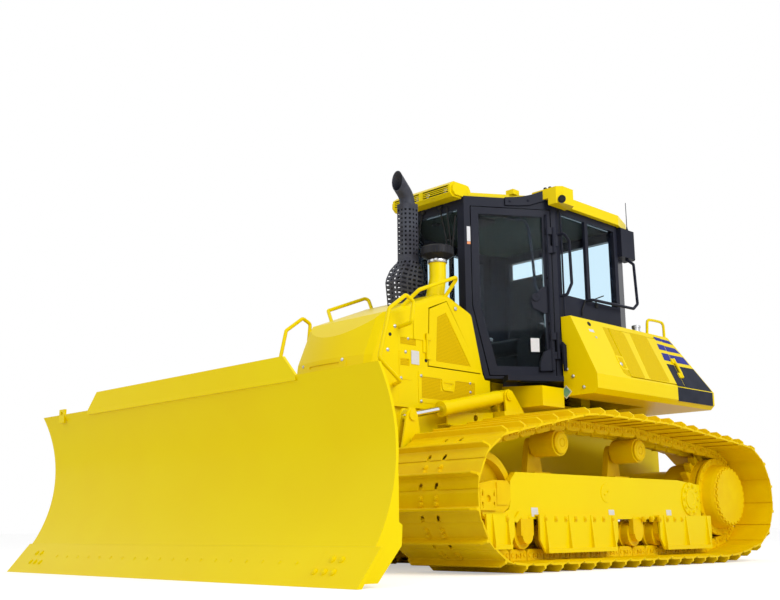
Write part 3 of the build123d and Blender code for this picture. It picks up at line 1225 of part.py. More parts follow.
# Blade gear
def make_c_frame():
    """C-frame: side arms from the trunnions, the cross-member, the tapered nose with its fork, the towers."""
    px, pz = FRAME_PIVOT
    rear, front = CROSS_X
    half = ARM_DEPTH / 2
    middle = BALL[1]
    arm = [(px - 110, pz - 80), (px + 120, pz - 110), (rear, middle - half), (front, middle - half),
           (front, middle + half),
           (rear, middle + half), (px + 200, pz + 110), (px - 110, pz + 80)]
    outer = ARM_Y + ARM_WIDTH / 2
    ball_x = BALL[0]
    nose = [(rear, -outer), (front, -outer), (ball_x - 130, -150), (ball_x - 130, 150), (front, outer),
            (rear, outer)]
    frame = prism_z(nose, middle - half, middle + half)
    fork = [(ball_x - 131, -150), (ball_x, -95), (ball_x + 40, -60), (ball_x + 40, 60), (ball_x, 95),
            (ball_x - 131, 150)]
    for low in (middle - half, middle + half - FORK_PLATE):
        frame += prism_z(fork, low, low + FORK_PLATE)
    pin_hole = bar((ball_x, 0, 0), (ball_x, 0, 1000), TRUNNION_RADIUS + PIN_CLEARANCE)
    frame -= pin_hole
    for side in (-1, 1):
        inner_y, outer_y = sorted((side * (ARM_Y - ARM_WIDTH / 2), side * outer))
        frame += prism_y(arm, inner_y, outer_y)
        frame -= bar((px, inner_y - 1, pz), (px, outer_y + 1, pz), PIVOT_PIN_RADIUS + PIN_CLEARANCE)
        frame += lift_tower(side, middle + half)
        frame += angle_bracket(side, middle + half)
    return frame


def lift_tower(side, arm_top):
    """Tower on an arm: two ears beside the lift rod's eye, with round bosses for its pin."""
    x, y, z = LIFT.far
    near = LIFT.eye_width / 2 + EAR_GAP
    far = near + 14
    low = arm_top - 160
    shape = [(x - 150, low), (x + 190, low), (x + 58, z), (x + 30, z + 55), (x - 30, z + 55), (x - 58, z)]
    tower = prism_y(shape, side * y - far, side * y - near) + prism_y(shape, side * y + near, side * y + far)
    tower += block(x - 150, x + 190, side * (ARM_Y + ARM_WIDTH / 2 - 5), side * (y + far), low, low + 90)
    for y0, y1 in ((-far - 12, -far), (far, far + 12)):
        tower += bar((x, side * y + y0, z), (x, side * y + y1, z), LIFT.pin_radius + 10)
    return tower


def angle_bracket(side, frame_top):
    """Base on the cross-member for an angle cylinder's yoke."""
    x, y, z = ANGLE.pin
    return bar((x, side * y, frame_top - 1), (x, side * y, z + YOKE_BASE[0] - RUNNING_GAP), YOKE_RADIUS)


def make_angle_yoke():
    """Left angle cylinder's yoke: a turning base and two cheeks beside the barrel's eye."""
    x, y, z = ANGLE.pin
    across = angle_pitch_axis()
    yoke = bar((x, y, z + YOKE_BASE[0]), (x, y, z + YOKE_BASE[1]), YOKE_RADIUS)
    near = ANGLE.eye_width / 2 + EAR_GAP
    far = near + 14
    reach = math.sqrt(YOKE_RADIUS ** 2 - far ** 2)
    plane = Plane(origin=(x, y, z), x_dir=Vector(0, 0, 1).cross(across), z_dir=across)
    cheek = [(-reach, YOKE_BASE[0] + 1), (reach, YOKE_BASE[0] + 1), (reach, 14), (14, 34), (-14, 34),
             (-reach, 14)]
    for inner, outer in ((-far, -near), (near, far)):
        yoke += plane_prism(plane, cheek, inner, outer)
    return yoke + bar(tuple(Vector(x, y, z) - across * far), tuple(Vector(x, y, z) + across * far),
                      ANGLE.pin_radius)


def angle_pitch_axis():
    """Level axis square to the left angle cylinder, such that a positive turn lifts its rod's end."""
    x, y, z = ANGLE.pin
    along = Vector(ANGLE.far[0] - x, ANGLE.far[1] - y, 0).normalized()
    return Vector(along.Y, -along.X, 0)


def make_knuckle():
    """Blade knuckle: an upright pin in the C-frame's fork, the trunnion that carries the blade, the tilt post."""
    x, z = BALL
    half = ARM_DEPTH / 2
    inside = half - FORK_PLATE - EAR_GAP
    knuckle = bar((x, 0, z - inside), (x, 0, z + inside), KNUCKLE_RADIUS)
    knuckle += bar((x, 0, z - half - 20), (x, 0, z + half + 60), TRUNNION_RADIUS)
    knuckle += bar((x, 0, z), (x + 300, 0, z), TRUNNION_RADIUS - 2)
    px, py, pz = TILT.pin
    post_low = z + half + EAR_GAP
    post = [(-70, post_low), (70, post_low), (70, post_low + 60), (py + 48, pz - 95), (py + 48, pz),
            (py + 28, pz + 50),
            (py - 28, pz + 50), (py - 55, pz)]
    knuckle += prism_x(post, px - 60, px + 60)
    near = TILT.eye_width / 2 + EAR_GAP
    gap = bar((px - near, py, pz), (px + near, py, pz), TILT.eye_radius + 12)
    gap += block(px - near, px + near, py, py + 200, pz - 80, pz + 80)
    knuckle -= gap
    return knuckle + bar((px - 72, py, pz), (px + 72, py, pz), TILT.pin_radius)


def blade_arc(offset):
    """Side view of the moldboard's face: top, deepest and lowest point, moved back by an offset."""
    return [(x - offset, z) for x, z in (BLADE_TOP, BLADE_DEEP, BLADE_LOW)]


def make_moldboard():
    """Moldboard: curved plate with its raised middle and end plates, box beams, ribs, hub and lugs."""
    front, back = blade_arc(0), blade_arc(MOLDBOARD_THICK)
    edges = [
        ThreePointArc(*[(x, 0, z) for x, z in front]),
        Line((front[2][0], 0, front[2][1]), (back[2][0], 0, back[2][1])),
        ThreePointArc(*[(x, 0, z) for x, z in reversed(back)]),
        Line((back[0][0], 0, back[0][1]), (front[0][0], 0, front[0][1])),
    ]
    face = Face(Wire(edges)).moved(Location((0, -MOLDBOARD_HALF, 0)))
    board = extrude(face, amount=2 * MOLDBOARD_HALF, dir=(0, 1, 0))
    top_x, top_z = BLADE_TOP
    spill = [(-SPILL_HALF_LOW, top_z - 30), (SPILL_HALF_LOW, top_z - 30), (SPILL_HALF_LOW, top_z),
             (SPILL_HALF_TOP, top_z + SPILL_HEIGHT), (-SPILL_HALF_TOP, top_z + SPILL_HEIGHT),
             (-SPILL_HALF_LOW, top_z)]
    board += prism_x(spill, top_x - MOLDBOARD_THICK, top_x)
    back_x = BLADE_DEEP[0] - BLADE_BACK
    skin = MOLDBOARD_THICK / 2
    beam_half = MOLDBOARD_HALF - BEAM_INSET
    lower = [(back_x - 30, 250), (blade_x(225, skin), 225), (blade_x(320, skin), 320),
             (blade_x(420, skin), 420),
             (back_x - 30, 420)]
    upper = [(back_x, 900), (blade_x(880, skin), 880), (blade_x(975, skin), 975), (blade_x(1070, skin), 1070),
             (back_x + 80, 1070)]
    board += prism_y(lower, -beam_half, beam_half) + prism_y(upper, -beam_half, beam_half)
    web = [(back_x - 20, RIB_LEVELS[0])] + [(blade_x(z, skin), z) for z in RIB_LEVELS] + [(back_x + 10,
                                                                                           RIB_LEVELS[-1] + 10)]
    end_plate = list(END_PLATE_BACK) + [(edge_back_x(z) - 0.5, z) for z in (END_PLATE_BACK[-1][1],
                                                                            BLADE_LOW[1])]
    end_plate += [(blade_x(z, skin), z) for z in END_PLATE_LEVELS]
    for side in (-1, 1):
        for inset in RIB_INSETS:
            y = side * (MOLDBOARD_HALF - inset)
            board += prism_y(web, y - RIB_THICK / 2, y + RIB_THICK / 2)
        board += prism_y(end_plate, side * (MOLDBOARD_HALF - END_PLATE_THICK), side * MOLDBOARD_HALF)
    hub_x0, hub_x1 = BALL[0] + KNUCKLE_RADIUS + 12, BLADE_DEEP[0] - skin
    board += block(hub_x0, hub_x1, -110, 110, BALL[1] - 110, BALL[1] + 110)
    board += block(hub_x0 + 110, hub_x1, -300, 300, 410, 700)
    board -= bar((BALL[0], 0, BALL[1]), (BALL[0] + 305, 0, BALL[1]), TRUNNION_RADIUS - 2 + PIN_CLEARANCE)
    eye_y0, eye_y1, rise = LIFTING_EYE
    eye = block(top_x - MOLDBOARD_THICK, top_x - 2, eye_y0, eye_y1, top_z - 60, top_z + rise)
    board += eye - bar((top_x - 30, (eye_y0 + eye_y1) / 2, top_z + 10),
                       (top_x, (eye_y0 + eye_y1) / 2, top_z + 10), 15)
    for side in (-1, 1):
        board += angle_lug(side)
    return board + tilt_lug(back_x)


def blade_circle():
    """Centre (x, z) and radius of the moldboard face's arc in side view."""
    (x0, z0), (x1, z1), (x2, z2) = BLADE_TOP, BLADE_DEEP, BLADE_LOW
    a, b, c, d = x1 - x0, z1 - z0, x2 - x0, z2 - z0
    e = a * (x0 + x1) + b * (z0 + z1)
    f = c * (x0 + x2) + d * (z0 + z2)
    g = 2 * (a * d - b * c)
    x, z = (d * e - b * f) / g, (a * f - c * e) / g
    return x, z, math.hypot(x0 - x, z0 - z)


def blade_x(z, depth):
    """X of the moldboard's face at a height, moved back by a depth."""
    centre_x, centre_z, radius = blade_circle()
    return centre_x - math.sqrt(radius ** 2 - (z - centre_z) ** 2) - depth


def angle_lug(side):
    """Two level ears behind the blade, wide enough apart for the angle rod's swing, on a back plate."""
    x, y, z = ANGLE.far
    clear = ANGLE.eye_width / 2 + ANGLE_LUG_GAP
    root = x + ANGLE.eye_radius + 55
    reach = clear + 40
    lug = block(root, blade_x(z + reach, MOLDBOARD_THICK - 1), side * (y - 100), side * (y + 100), z - reach,
                z + reach)
    ear = [(x - 38, side * (y - 28)), (x - 38, side * (y + 28)), (x - 6, side * (y + 64)),
           (root + 1, side * (y + 88)),
           (root + 1, side * (y - 88)), (x - 6, side * (y - 64))]
    return lug + prism_z(ear, z + clear, z + clear + LUG_PLATE) + prism_z(ear, z - clear - LUG_PLATE,
                                                                          z - clear)


def tilt_lug(back_x):
    """Two upright ears behind the blade for the tilt rod's eye."""
    x, y, z = TILT.far
    near = TILT.eye_width / 2 + TILT_LUG_GAP
    far = near + LUG_PLATE
    ear = [(y - 34, z - 34), (y - 34, z + 34), (y, z + 60), (y + 150, z + 70), (y + 150, z - 70), (y, z - 60)]
    lug = prism_x(ear, x - far, x - near) + prism_x(ear, x + near, x + far)
    return lug + block(x - far, back_x + 30, y + 90, y + 150, z - 70, z + 70)


def edge_lean():
    """Angle by which the cutting edge leans forward from upright."""
    return math.atan2(BLADE_TIP_X - BLADE_LOW[0], BLADE_LOW[1])


def edge_back_x(z):
    """X of the cutting edge's back face at a height."""
    top_x, low_x = BLADE_LOW[0] - MOLDBOARD_THICK, BLADE_TIP_X - EDGE_THICK / math.cos(edge_lean())
    return low_x + (top_x - low_x) * z / BLADE_LOW[1]


def make_cutting_edge():
    """Cutting edge and end bits: three plates end to end that lean forward to the ground."""
    top_z = BLADE_LOW[1] - RUNNING_GAP
    section = [(BLADE_LOW[0], top_z), (BLADE_TIP_X, 0), (edge_back_x(0), 0),
               (edge_back_x(BLADE_LOW[1]), top_z)]
    seam = BLADE_HALF - END_BIT_WIDTH
    spans = ((-BLADE_HALF, -seam - RUNNING_GAP), (-seam, seam), (seam + RUNNING_GAP, BLADE_HALF))
    return [prism_y(section, y0, y1) for y0, y1 in spans]


# Cylinders
def make_barrel(cylinder):
    """A cylinder's barrel: its bored eye, the flat neck, the tube and gland, and the bore for the rod."""
    c = cylinder
    bore = Vector(c.bore)
    along = (Vector(c.far) - Vector(c.pin)).normalized()
    plane = Plane(origin=c.pin, x_dir=along, z_dir=bore)
    half = c.eye_width / 2
    start = c.eye_radius + CYLINDER_NECK
    width = c.eye_radius * 0.8
    neck = plane_prism(plane, [(0, -width), (start + 1, -width), (start + 1, width), (0, width)], -half, half)
    pin = Vector(c.pin)
    barrel = bar(tuple(pin - bore * half), tuple(pin + bore * half), c.eye_radius) + neck
    end = toward(c.pin, c.far, c.length)
    barrel += bar(tuple(toward(c.pin, c.far, start)), tuple(end), c.barrel)
    barrel += bar(tuple(toward(c.pin, c.far, c.length - 70)), tuple(end), c.barrel + 5)
    barrel -= bar(tuple(toward(c.pin, c.far, start + 20)), tuple(toward(c.pin, c.far, c.length + 1)),
                  c.rod + PIN_CLEARANCE)
    return barrel - bar(tuple(pin - bore * (half + 1)), tuple(pin + bore * (half + 1)),
                        c.pin_radius + PIN_CLEARANCE)


def make_rod(cylinder):
    """A cylinder's rod with the round eye at its end."""
    c = cylinder
    half = Vector(c.bore) * (c.eye_width / 2)
    far = Vector(c.far)
    start = toward(c.pin, c.far, c.eye_radius + CYLINDER_NECK + 20 + c.stroke_in + 10)
    rod = bar(tuple(start), tuple(toward(c.far, c.pin, c.eye_radius * 0.7)), c.rod)
    return rod + bar(tuple(far - half), tuple(far + half), c.eye_radius)


def make_nodes():
    """Every node's name with its solids."""
    nodes = {
        "main_frame": make_main_frame(),
        "drawbar": make_drawbar(),
        "engine_block": make_engine(),
        "hood": make_hood(),
        "nose_cowl": make_nose(),
        "grab_rails": make_grab_rails(),
        "exhaust_stack": make_exhaust(),
        "exhaust_guard": make_exhaust_guard(),
        "precleaner": make_precleaner(),
        "cab_frame": make_cab_frame(),
        "cab_roof": make_cab_roof(),
        "cab_glass": make_cab_glass(),
        "cab_interior": make_cab_interior(),
        "operator_seat": make_seat(),
        "cab_steps": make_cab_steps(),
        "cab_grab_bars": make_grab_bars(),
        "antenna": make_antenna(),
        "rear_body": make_rear_body(),
        "rear_grille": make_rear_grille(),
        "fender_decks": make_fender_decks(),
        "roller_guards": make_roller_guards(),
        "track_rollers": make_track_rollers(),
        "carrier_rollers": make_carrier_rollers(),
        "c_frame": make_c_frame(),
        "blade_knuckle": make_knuckle(),
        "moldboard": make_moldboard(),
        "cutting_edge": make_cutting_edge(),
        "tilt_barrel": make_barrel(TILT),
        "tilt_rod": make_rod(TILT),
    }
    left_pieces = {
        "side_body": make_side_body(),
        "body_door": make_body_door(),
        "track_frame": make_track_frame(),
        "track": make_track(),
        "idler": make_idler(),
        "sprocket": make_sprocket(),
        "cab_door": make_cab_door(),
        "door_glass": make_door_glass(),
        "engine_door": make_engine_door(),
        "lift_barrel": make_barrel(LIFT),
        "lift_rod": make_rod(LIFT),
        "angle_yoke": make_angle_yoke(),
        "angle_barrel": make_barrel(ANGLE._replace(bore=tuple(angle_pitch_axis()))),
        "angle_rod": make_rod(ANGLE),
    }
    for name, piece in left_pieces.items():
        nodes[name + "_left"] = piece
        nodes[name + "_right"] = mirrored(piece)
    return nodes


def solids_of(piece):
    """The solids of a piece or of a list of pieces."""
    pieces = piece if isinstance(piece, list) else [piece]
    return [solid for item in pieces for solid in item.solids()]


def main():
    """Build every node, move the origin under the middle of the machine's box, and write the files."""
    nodes = {name: Compound(solids_of(piece)) for name, piece in make_nodes().items()}
    boxes = [shape.bounding_box() for shape in nodes.values()]
    middle_x = (min(box.min.X for box in boxes) + max(box.max.X for box in boxes)) / 2
    floor_z = min(box.min.Z for box in boxes)
    print("moved by", -middle_x, -floor_z)
    print("reach", [min(box.min.X for box in boxes), max(box.max.X for box in boxes),
                    max(box.max.Z for box in boxes)])
    for name, shape in nodes.items():
        export_step(shape.moved(Location((-middle_x, 0, -floor_z))), f"parts/{name}.step")


if __name__ == "__main__":
    main()
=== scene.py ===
import math
from collections import namedtuple

import bmesh
import bpy
from bpy.props import FloatProperty, FloatVectorProperty, PointerProperty
from mathutils import Matrix, Vector


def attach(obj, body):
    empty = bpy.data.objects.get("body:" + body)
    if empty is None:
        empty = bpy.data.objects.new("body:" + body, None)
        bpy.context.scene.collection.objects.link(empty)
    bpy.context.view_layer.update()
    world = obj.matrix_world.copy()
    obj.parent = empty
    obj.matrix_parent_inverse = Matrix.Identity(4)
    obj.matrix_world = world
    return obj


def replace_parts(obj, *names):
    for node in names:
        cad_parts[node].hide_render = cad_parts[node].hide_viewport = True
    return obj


bl_info = {
    "name": "Crawler Bulldozer Finish",
    "version": (2, 1, 0),
    "blender": (4, 5, 0),
    "location": "View3D > Sidebar > Bulldozer",
    "description": "Paint, track shoes, fasteners, screens, lamps, seat and studio for a bulldozer",
    "category": "Add Mesh",
}

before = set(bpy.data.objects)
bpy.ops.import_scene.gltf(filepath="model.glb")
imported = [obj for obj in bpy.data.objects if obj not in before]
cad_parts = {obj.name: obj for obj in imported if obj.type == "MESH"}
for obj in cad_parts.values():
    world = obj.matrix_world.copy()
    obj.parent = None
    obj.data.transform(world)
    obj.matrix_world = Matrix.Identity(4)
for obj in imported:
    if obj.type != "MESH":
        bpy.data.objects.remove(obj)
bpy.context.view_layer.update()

# The CAD's own axes start at the sprocket shaft, in millimetres
MIDDLE_X = 2248.5
MM = 0.001

# Directions: x runs forward, y to the left and z up
FORWARD = (1.0, 0.0, 0.0)
BACKWARD = (-1.0, 0.0, 0.0)
OUTWARD = (0.0, 1.0, 0.0)
INWARD = (0.0, -1.0, 0.0)
UP = (0.0, 0.0, 1.0)
DOWN = (0.0, 0.0, -1.0)


def at(x, y, z):
    """A place in the maker's millimetres from the sprocket shaft, as metres in the frame."""
    return Vector(((x - MIDDLE_X) * MM, y * MM, z * MM))


def paint_colour(name, description, default):
    """A colour that a user can change."""
    return FloatVectorProperty(
        name=name, description=description, default=default, size=3, min=0.0, max=1.0, subtype="COLOR"
    )


class PaintSettings(bpy.types.PropertyGroup):
    """Colours of the machine"""

    yellow: paint_colour("Yellow", "Body paint", (0.90, 0.705, 0.0))
    # The track colour is the body's yellow made darker and more orange, as painted shade on tracks and
    # castings
    track: paint_colour("Track", "Paint of tracks and castings", (0.88, 0.62, 0.0))
    cab: paint_colour("Cab", "Dark paint of the cab", (0.014, 0.016, 0.028))
    stripe: paint_colour("Stripe", "Stripes on the side bodies", (0.010, 0.016, 0.24))


# Materials
def shader_of(material):
    """The Principled shader of a material."""
    return material.node_tree.nodes["Principled BSDF"]


def shader_material(name, colour, roughness, metallic, gloss):
    """A Principled material with one colour, ready for grain."""
    material = bpy.data.materials.new(name)
    material.use_nodes = True
    shader = shader_of(material)
    shader.inputs["Base Color"].default_value = (*colour, 1.0)
    shader.inputs["Roughness"].default_value = roughness
    shader.inputs["Metallic"].default_value = metallic
    shader.inputs["Specular IOR Level"].default_value = gloss
    return material


def object_noise(material, scale):
    """A noise on Object coordinates."""
    nodes, links = material.node_tree.nodes, material.node_tree.links
    place = nodes.new("ShaderNodeTexCoord")
    noise = nodes.new("ShaderNodeTexNoise")
    noise.inputs["Scale"].default_value = scale
    noise.inputs["Detail"].default_value = 3.0
    links.new(place.outputs["Object"], noise.inputs["Vector"])
    return noise


def blend_colour(material, factor, other):
    """Lets a node's output turn the base colour into another one."""
    nodes, links = material.node_tree.nodes, material.node_tree.links
    base = shader_of(material).inputs["Base Color"]
    mix = nodes.new("ShaderNodeMix")
    mix.data_type = "RGBA"
    mix.inputs["A"].default_value = base.default_value
    mix.inputs["B"].default_value = (*other, 1.0)
    links.new(factor, mix.inputs["Factor"])
    links.new(mix.outputs["Result"], base)


def add_tone(material, other, scale):
    """Lets the colour drift towards another one in soft patches."""
    nodes, links = material.node_tree.nodes, material.node_tree.links
    ramp = nodes.new("ShaderNodeMapRange")
    ramp.inputs["From Min"].default_value = 0.35
    ramp.inputs["From Max"].default_value = 0.65
    links.new(object_noise(material, scale).outputs["Fac"], ramp.inputs["Value"])
    blend_colour(material, ramp.outputs["Result"], other)


def add_grain(material, scale, strength, distance):
    """Fine bump, as in paint or moulded plastic."""
    nodes, links = material.node_tree.nodes, material.node_tree.links
    noise = object_noise(material, scale)
    bump = nodes.new("ShaderNodeBump")
    bump.inputs["Strength"].default_value = strength
    bump.inputs["Distance"].default_value = distance
    links.new(noise.outputs["Fac"], bump.inputs["Height"])
    links.new(bump.outputs["Normal"], shader_of(material).inputs["Normal"])


def add_edge_above(material, height, other):
    """Another colour above a height, as where a black cap sits on a yellow duct."""
    nodes, links = material.node_tree.nodes, material.node_tree.links
    place = nodes.new("ShaderNodeTexCoord")
    parts = nodes.new("ShaderNodeSeparateXYZ")
    above = nodes.new("ShaderNodeMath")
    above.operation = "GREATER_THAN"
    above.inputs[1].default_value = height * MM
    links.new(place.outputs["Object"], parts.inputs["Vector"])
    links.new(parts.outputs["Z"], above.inputs[0])
    blend_colour(material, above.outputs[0], other)


# Punched screens: distance of the holes, and the holes' radius as a share of it
HOLE_PITCH = 11.0
HOLE_SHARE = 0.3


def add_holes(material, slope, other):
    """Rows of small punched holes, painted in a darker colour as painted shade seen through them, on a plane
    whose slope is turned flat.
    """
    nodes, links = material.node_tree.nodes, material.node_tree.links
    place = nodes.new("ShaderNodeTexCoord")
    mapping = nodes.new("ShaderNodeMapping")
    mapping.vector_type = "POINT"
    mapping.inputs["Rotation"].default_value = (slope, 0.0, 0.0)
    cells = nodes.new("ShaderNodeTexVoronoi")
    cells.voronoi_dimensions = "2D"
    cells.inputs["Scale"].default_value = 1.0 / (HOLE_PITCH * MM)
    cells.inputs["Randomness"].default_value = 0.0
    hole = nodes.new("ShaderNodeMath")
    hole.operation = "LESS_THAN"
    hole.inputs[1].default_value = HOLE_SHARE
    links.new(place.outputs["Object"], mapping.inputs["Vector"])
    links.new(mapping.outputs["Vector"], cells.inputs["Vector"])
    links.new(cells.outputs["Distance"], hole.inputs[0])
    blend_colour(material, hole.outputs[0], other)


# One finish: its colour or the setting that holds it, roughness, metal, gloss, the tone that it drifts to
# with that pattern's scale, and its grain as scale, strength and distance
Finish = namedtuple("Finish", "colour rough metal gloss tone grain")

FINISHES = {
    # Glossy machine yellow with a faint orange peel
    "yellow_paint": Finish("yellow", 0.30, 0.0, 0.09, ((0.89, 0.675, 0.0), 1.7), (260.0, 0.05, 0.002)),
    # Yellow on castings and track, rougher, and darker and more orange than the body's yellow as painted
    # shade
    "track_paint": Finish("track", 0.42, 0.0, 0.09, ((0.84, 0.56, 0.0), 6.0), (90.0, 0.18, 0.003)),
    # Blue-black satin paint of the cab
    "cab_paint": Finish("cab", 0.34, 0.0, 0.07, ((0.019, 0.021, 0.034), 3.0), (300.0, 0.04, 0.002)),
    # Heat-proof grey-black of the exhaust
    "stack_paint": Finish(
        (0.06, 0.065, 0.085), 0.5, 0.0, 0.2, ((0.03, 0.03, 0.042), 9.0), (400.0, 0.12, 0.001)),
    # Yellow of the intake duct, with a black cap above its clamp
    "duct_paint": Finish("yellow", 0.35, 0.0, 0.12, None, (300.0, 0.06, 0.001)),
    # Hard chrome of the cylinder rods
    "chrome_rod": Finish((0.78, 0.79, 0.82), 0.08, 1.0, 0.5, None, (700.0, 0.02, 0.0005)),
    # Plated steel of bolts, latches and clamps
    "bright_steel": Finish(
        (0.60, 0.61, 0.63), 0.3, 0.9, 0.5, ((0.50, 0.51, 0.53), 60.0), (500.0, 0.05, 0.0005)),
    # Lightly blue cab glass
    "window_glass": Finish((0.80, 0.93, 1.0), 0.02, 0.0, 0.5, None, (12.0, 0.01, 0.0005)),
    # Ribbed glass of the lamps
    "lamp_glass": Finish(
        (0.90, 0.93, 0.97), 0.12, 0.35, 0.5, ((0.75, 0.80, 0.86), 120.0), (160.0, 0.4, 0.002)),
    # Moulded plastic inside the cab
    "grey_plastic": Finish(
        (0.016, 0.018, 0.020), 0.5, 0.0, 0.1, ((0.017, 0.019, 0.022), 14.0), (900.0, 0.25, 0.0006)),
    # Grey-green lining under the roof
    "headliner_cloth": Finish(
        (0.055, 0.075, 0.070), 0.85, 0.0, 0.1, ((0.045, 0.062, 0.058), 40.0), (700.0, 0.3, 0.0008)),
    # Rubber of seals, plugs and wipers
    "black_rubber": Finish(
        (0.012, 0.012, 0.013), 0.7, 0.0, 0.3, ((0.02, 0.02, 0.02), 20.0), (1200.0, 0.3, 0.0005)),
    # Punched yellow steel of the hood's and the side bodies' screens, darker than the paint as painted shade
    # behind the punching
    "hood_screen": Finish((0.76, 0.52, 0.0), 0.5, 0.0, 0.05, None, (500.0, 0.1, 0.0008)),
    "screen_yellow": Finish((0.80, 0.56, 0.0), 0.5, 0.0, 0.05, None, (400.0, 0.12, 0.0008)),
    # Pale film of the blank labels, teal film of the diamond sign
    "label_film": Finish(
        (0.72, 0.73, 0.76), 0.4, 0.0, 0.3, ((0.66, 0.67, 0.71), 90.0), (300.0, 0.05, 0.0004)),
    "sign_film": Finish(
        (0.09, 0.36, 0.40), 0.4, 0.0, 0.3, ((0.20, 0.42, 0.36), 30.0), (300.0, 0.05, 0.0004)),
    # Deep blue film of the stripes, slate film of the rear side panel
    "stripe_film": Finish("stripe", 0.35, 0.0, 0.1, ((0.012, 0.020, 0.27), 8.0), (300.0, 0.03, 0.0005)),
    "panel_film": Finish(
        (0.028, 0.032, 0.046), 0.45, 0.0, 0.02, ((0.036, 0.040, 0.058), 8.0), (300.0, 0.03, 0.0005)),
    # Red release button of the belt buckle, amber mark on the cab's post
    "red_plastic": Finish(
        (0.42, 0.02, 0.02), 0.4, 0.0, 0.5, ((0.36, 0.015, 0.015), 50.0), (600.0, 0.1, 0.0004)),
    "amber_plastic": Finish(
        (0.75, 0.22, 0.01), 0.25, 0.0, 0.5, ((0.70, 0.18, 0.01), 80.0), (300.0, 0.2, 0.0006)),
    # Dark woven cloth of the operator's seat
    "seat_cloth": Finish(
        (0.010, 0.011, 0.013), 0.9, 0.0, 0.05, ((0.024, 0.025, 0.029), 400.0), (800.0, 0.5, 0.0008)),
}
MADE = {}

# The duct is yellow up to here
DUCT_CLAMP_Z = 2381.0

# Which finish each CAD node wears; any other node is yellow paint
NODE_FINISH = {
    "cab_frame": "cab_paint",
    "cab_door": "cab_paint",
    "cab_steps": "cab_paint",
    "cab_grab_bars": "cab_paint",
    "antenna": "cab_paint",
    "rear_grille": "cab_paint",
    "exhaust_stack": "stack_paint",
    "exhaust_guard": "stack_paint",
    "engine_block": "stack_paint",
    "precleaner": "duct_paint",
    "cab_interior": "grey_plastic",
    "operator_seat": "seat_cloth",
    "cab_glass": "window_glass",
    "door_glass": "window_glass",
    "lift_rod": "chrome_rod",
    "angle_rod": "chrome_rod",
    "tilt_rod": "chrome_rod",
    # Tracks, rollers, idlers and sprockets wear the darker orange yellow as painted shade
    "track": "track_paint",
    "track_rollers": "track_paint",
    "carrier_rollers": "track_paint",
    "idler": "track_paint",
    "sprocket": "track_paint",
}


def base_name(node):
    """A node's name without its side."""
    return node.replace("_left", "").replace("_right", "")


def made_finish(name, finish):
    """A material from its row of FINISHES."""
    colour = finish.colour
    if isinstance(colour, str):
        colour = getattr(bpy.context.scene.bulldozer_paint, colour)
    material = shader_material(name, colour, finish.rough, finish.metal, finish.gloss)
    if finish.tone:
        add_tone(material, *finish.tone)
    add_grain(material, *finish.grain)
    return material


def add_touches():
    """What single finishes have beside their row: the duct's cap, clear glass, woven sheen and punched holes
    painted dark as painted shade.
    """
    add_edge_above(MADE["duct_paint"], DUCT_CLAMP_Z, (0.02, 0.021, 0.028))
    glass = shader_of(MADE["window_glass"])
    glass.inputs["Transmission Weight"].default_value = 1.0
    glass.inputs["IOR"].default_value = 1.1
    shader_of(MADE["seat_cloth"]).inputs["Sheen Weight"].default_value = 0.15
    upright = math.radians(90.0)
    # The screens' holes are painted in darker yellow as painted shade behind them
    add_holes(MADE["hood_screen"], upright, (0.50, 0.31, 0.0))
    add_holes(MADE["screen_yellow"], upright - math.atan2(FACE_LEAN.z, FACE_LEAN.y), (0.54, 0.36, 0.0))


class BULLDOZER_OT_finishes(bpy.types.Operator):
    """Make the finishes and put them on the CAD nodes"""

    bl_idname = "bulldozer.finishes"
    bl_label = "Finishes"

    def execute(self, context):
        for name, finish in FINISHES.items():
            MADE[name] = made_finish(name, finish)
        add_touches()
        for node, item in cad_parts.items():
            item.data.materials.clear()
            item.data.materials.append(MADE[NODE_FINISH.get(base_name(node), "yellow_paint")])
        return {"FINISHED"}


# Modelling tools
def only(*pieces):
    """Selects these pieces alone, because a tool acts on all that is selected."""
    bpy.ops.object.select_all(action="DESELECT")
    for piece in pieces:
        piece.select_set(True)
    bpy.context.view_layer.objects.active = pieces[0]


def fresh():
    """Deselects all before a new primitive."""
    bpy.ops.object.select_all(action="DESELECT")


def settled():
    """Takes the new primitive's place, turn and size into its mesh."""
    bpy.ops.object.transform_apply(location=True, rotation=True, scale=True)
    return bpy.context.active_object


def applied(piece, modifier):
    """Applies a modifier."""
    only(piece)
    bpy.ops.object.modifier_apply(modifier=modifier.name)
    return piece


def rounded(piece, edge, steps=2, sharp=30.0):
    """Rounds the sharp edges."""
    bevel = piece.modifiers.new("rounding", "BEVEL")
    bevel.width = edge * MM
    bevel.segments = steps
    bevel.limit_method = "ANGLE"
    bevel.angle_limit = math.radians(sharp)
    return applied(piece, bevel)


def cut(piece, tool):
    """Takes a tool's space out of a piece."""
    boolean = piece.modifiers.new("cutting", "BOOLEAN")
    boolean.operation = "DIFFERENCE"
    boolean.solver = "EXACT"
    boolean.object = tool
    applied(piece, boolean)
    bpy.data.objects.remove(tool)
    return piece


def joined(pieces):
    """Several pieces as one mesh."""
    only(*pieces)
    if len(pieces) > 1:
        bpy.ops.object.join()
    return pieces[0]


def twin_of(piece, matrix):
    """A copy with its own mesh, moved by a matrix."""
    twin = piece.copy()
    twin.data = piece.data.copy()
    twin.data.transform(matrix)
    if matrix.determinant() < 0:
        twin.data.flip_normals()
    bpy.context.scene.collection.objects.link(twin)
    return twin


def copies(source, places):
    """Copies at each place, joined to one piece; the source goes."""
    made = [twin_of(source, matrix) for matrix in places]
    bpy.data.objects.remove(source)
    return joined(made)


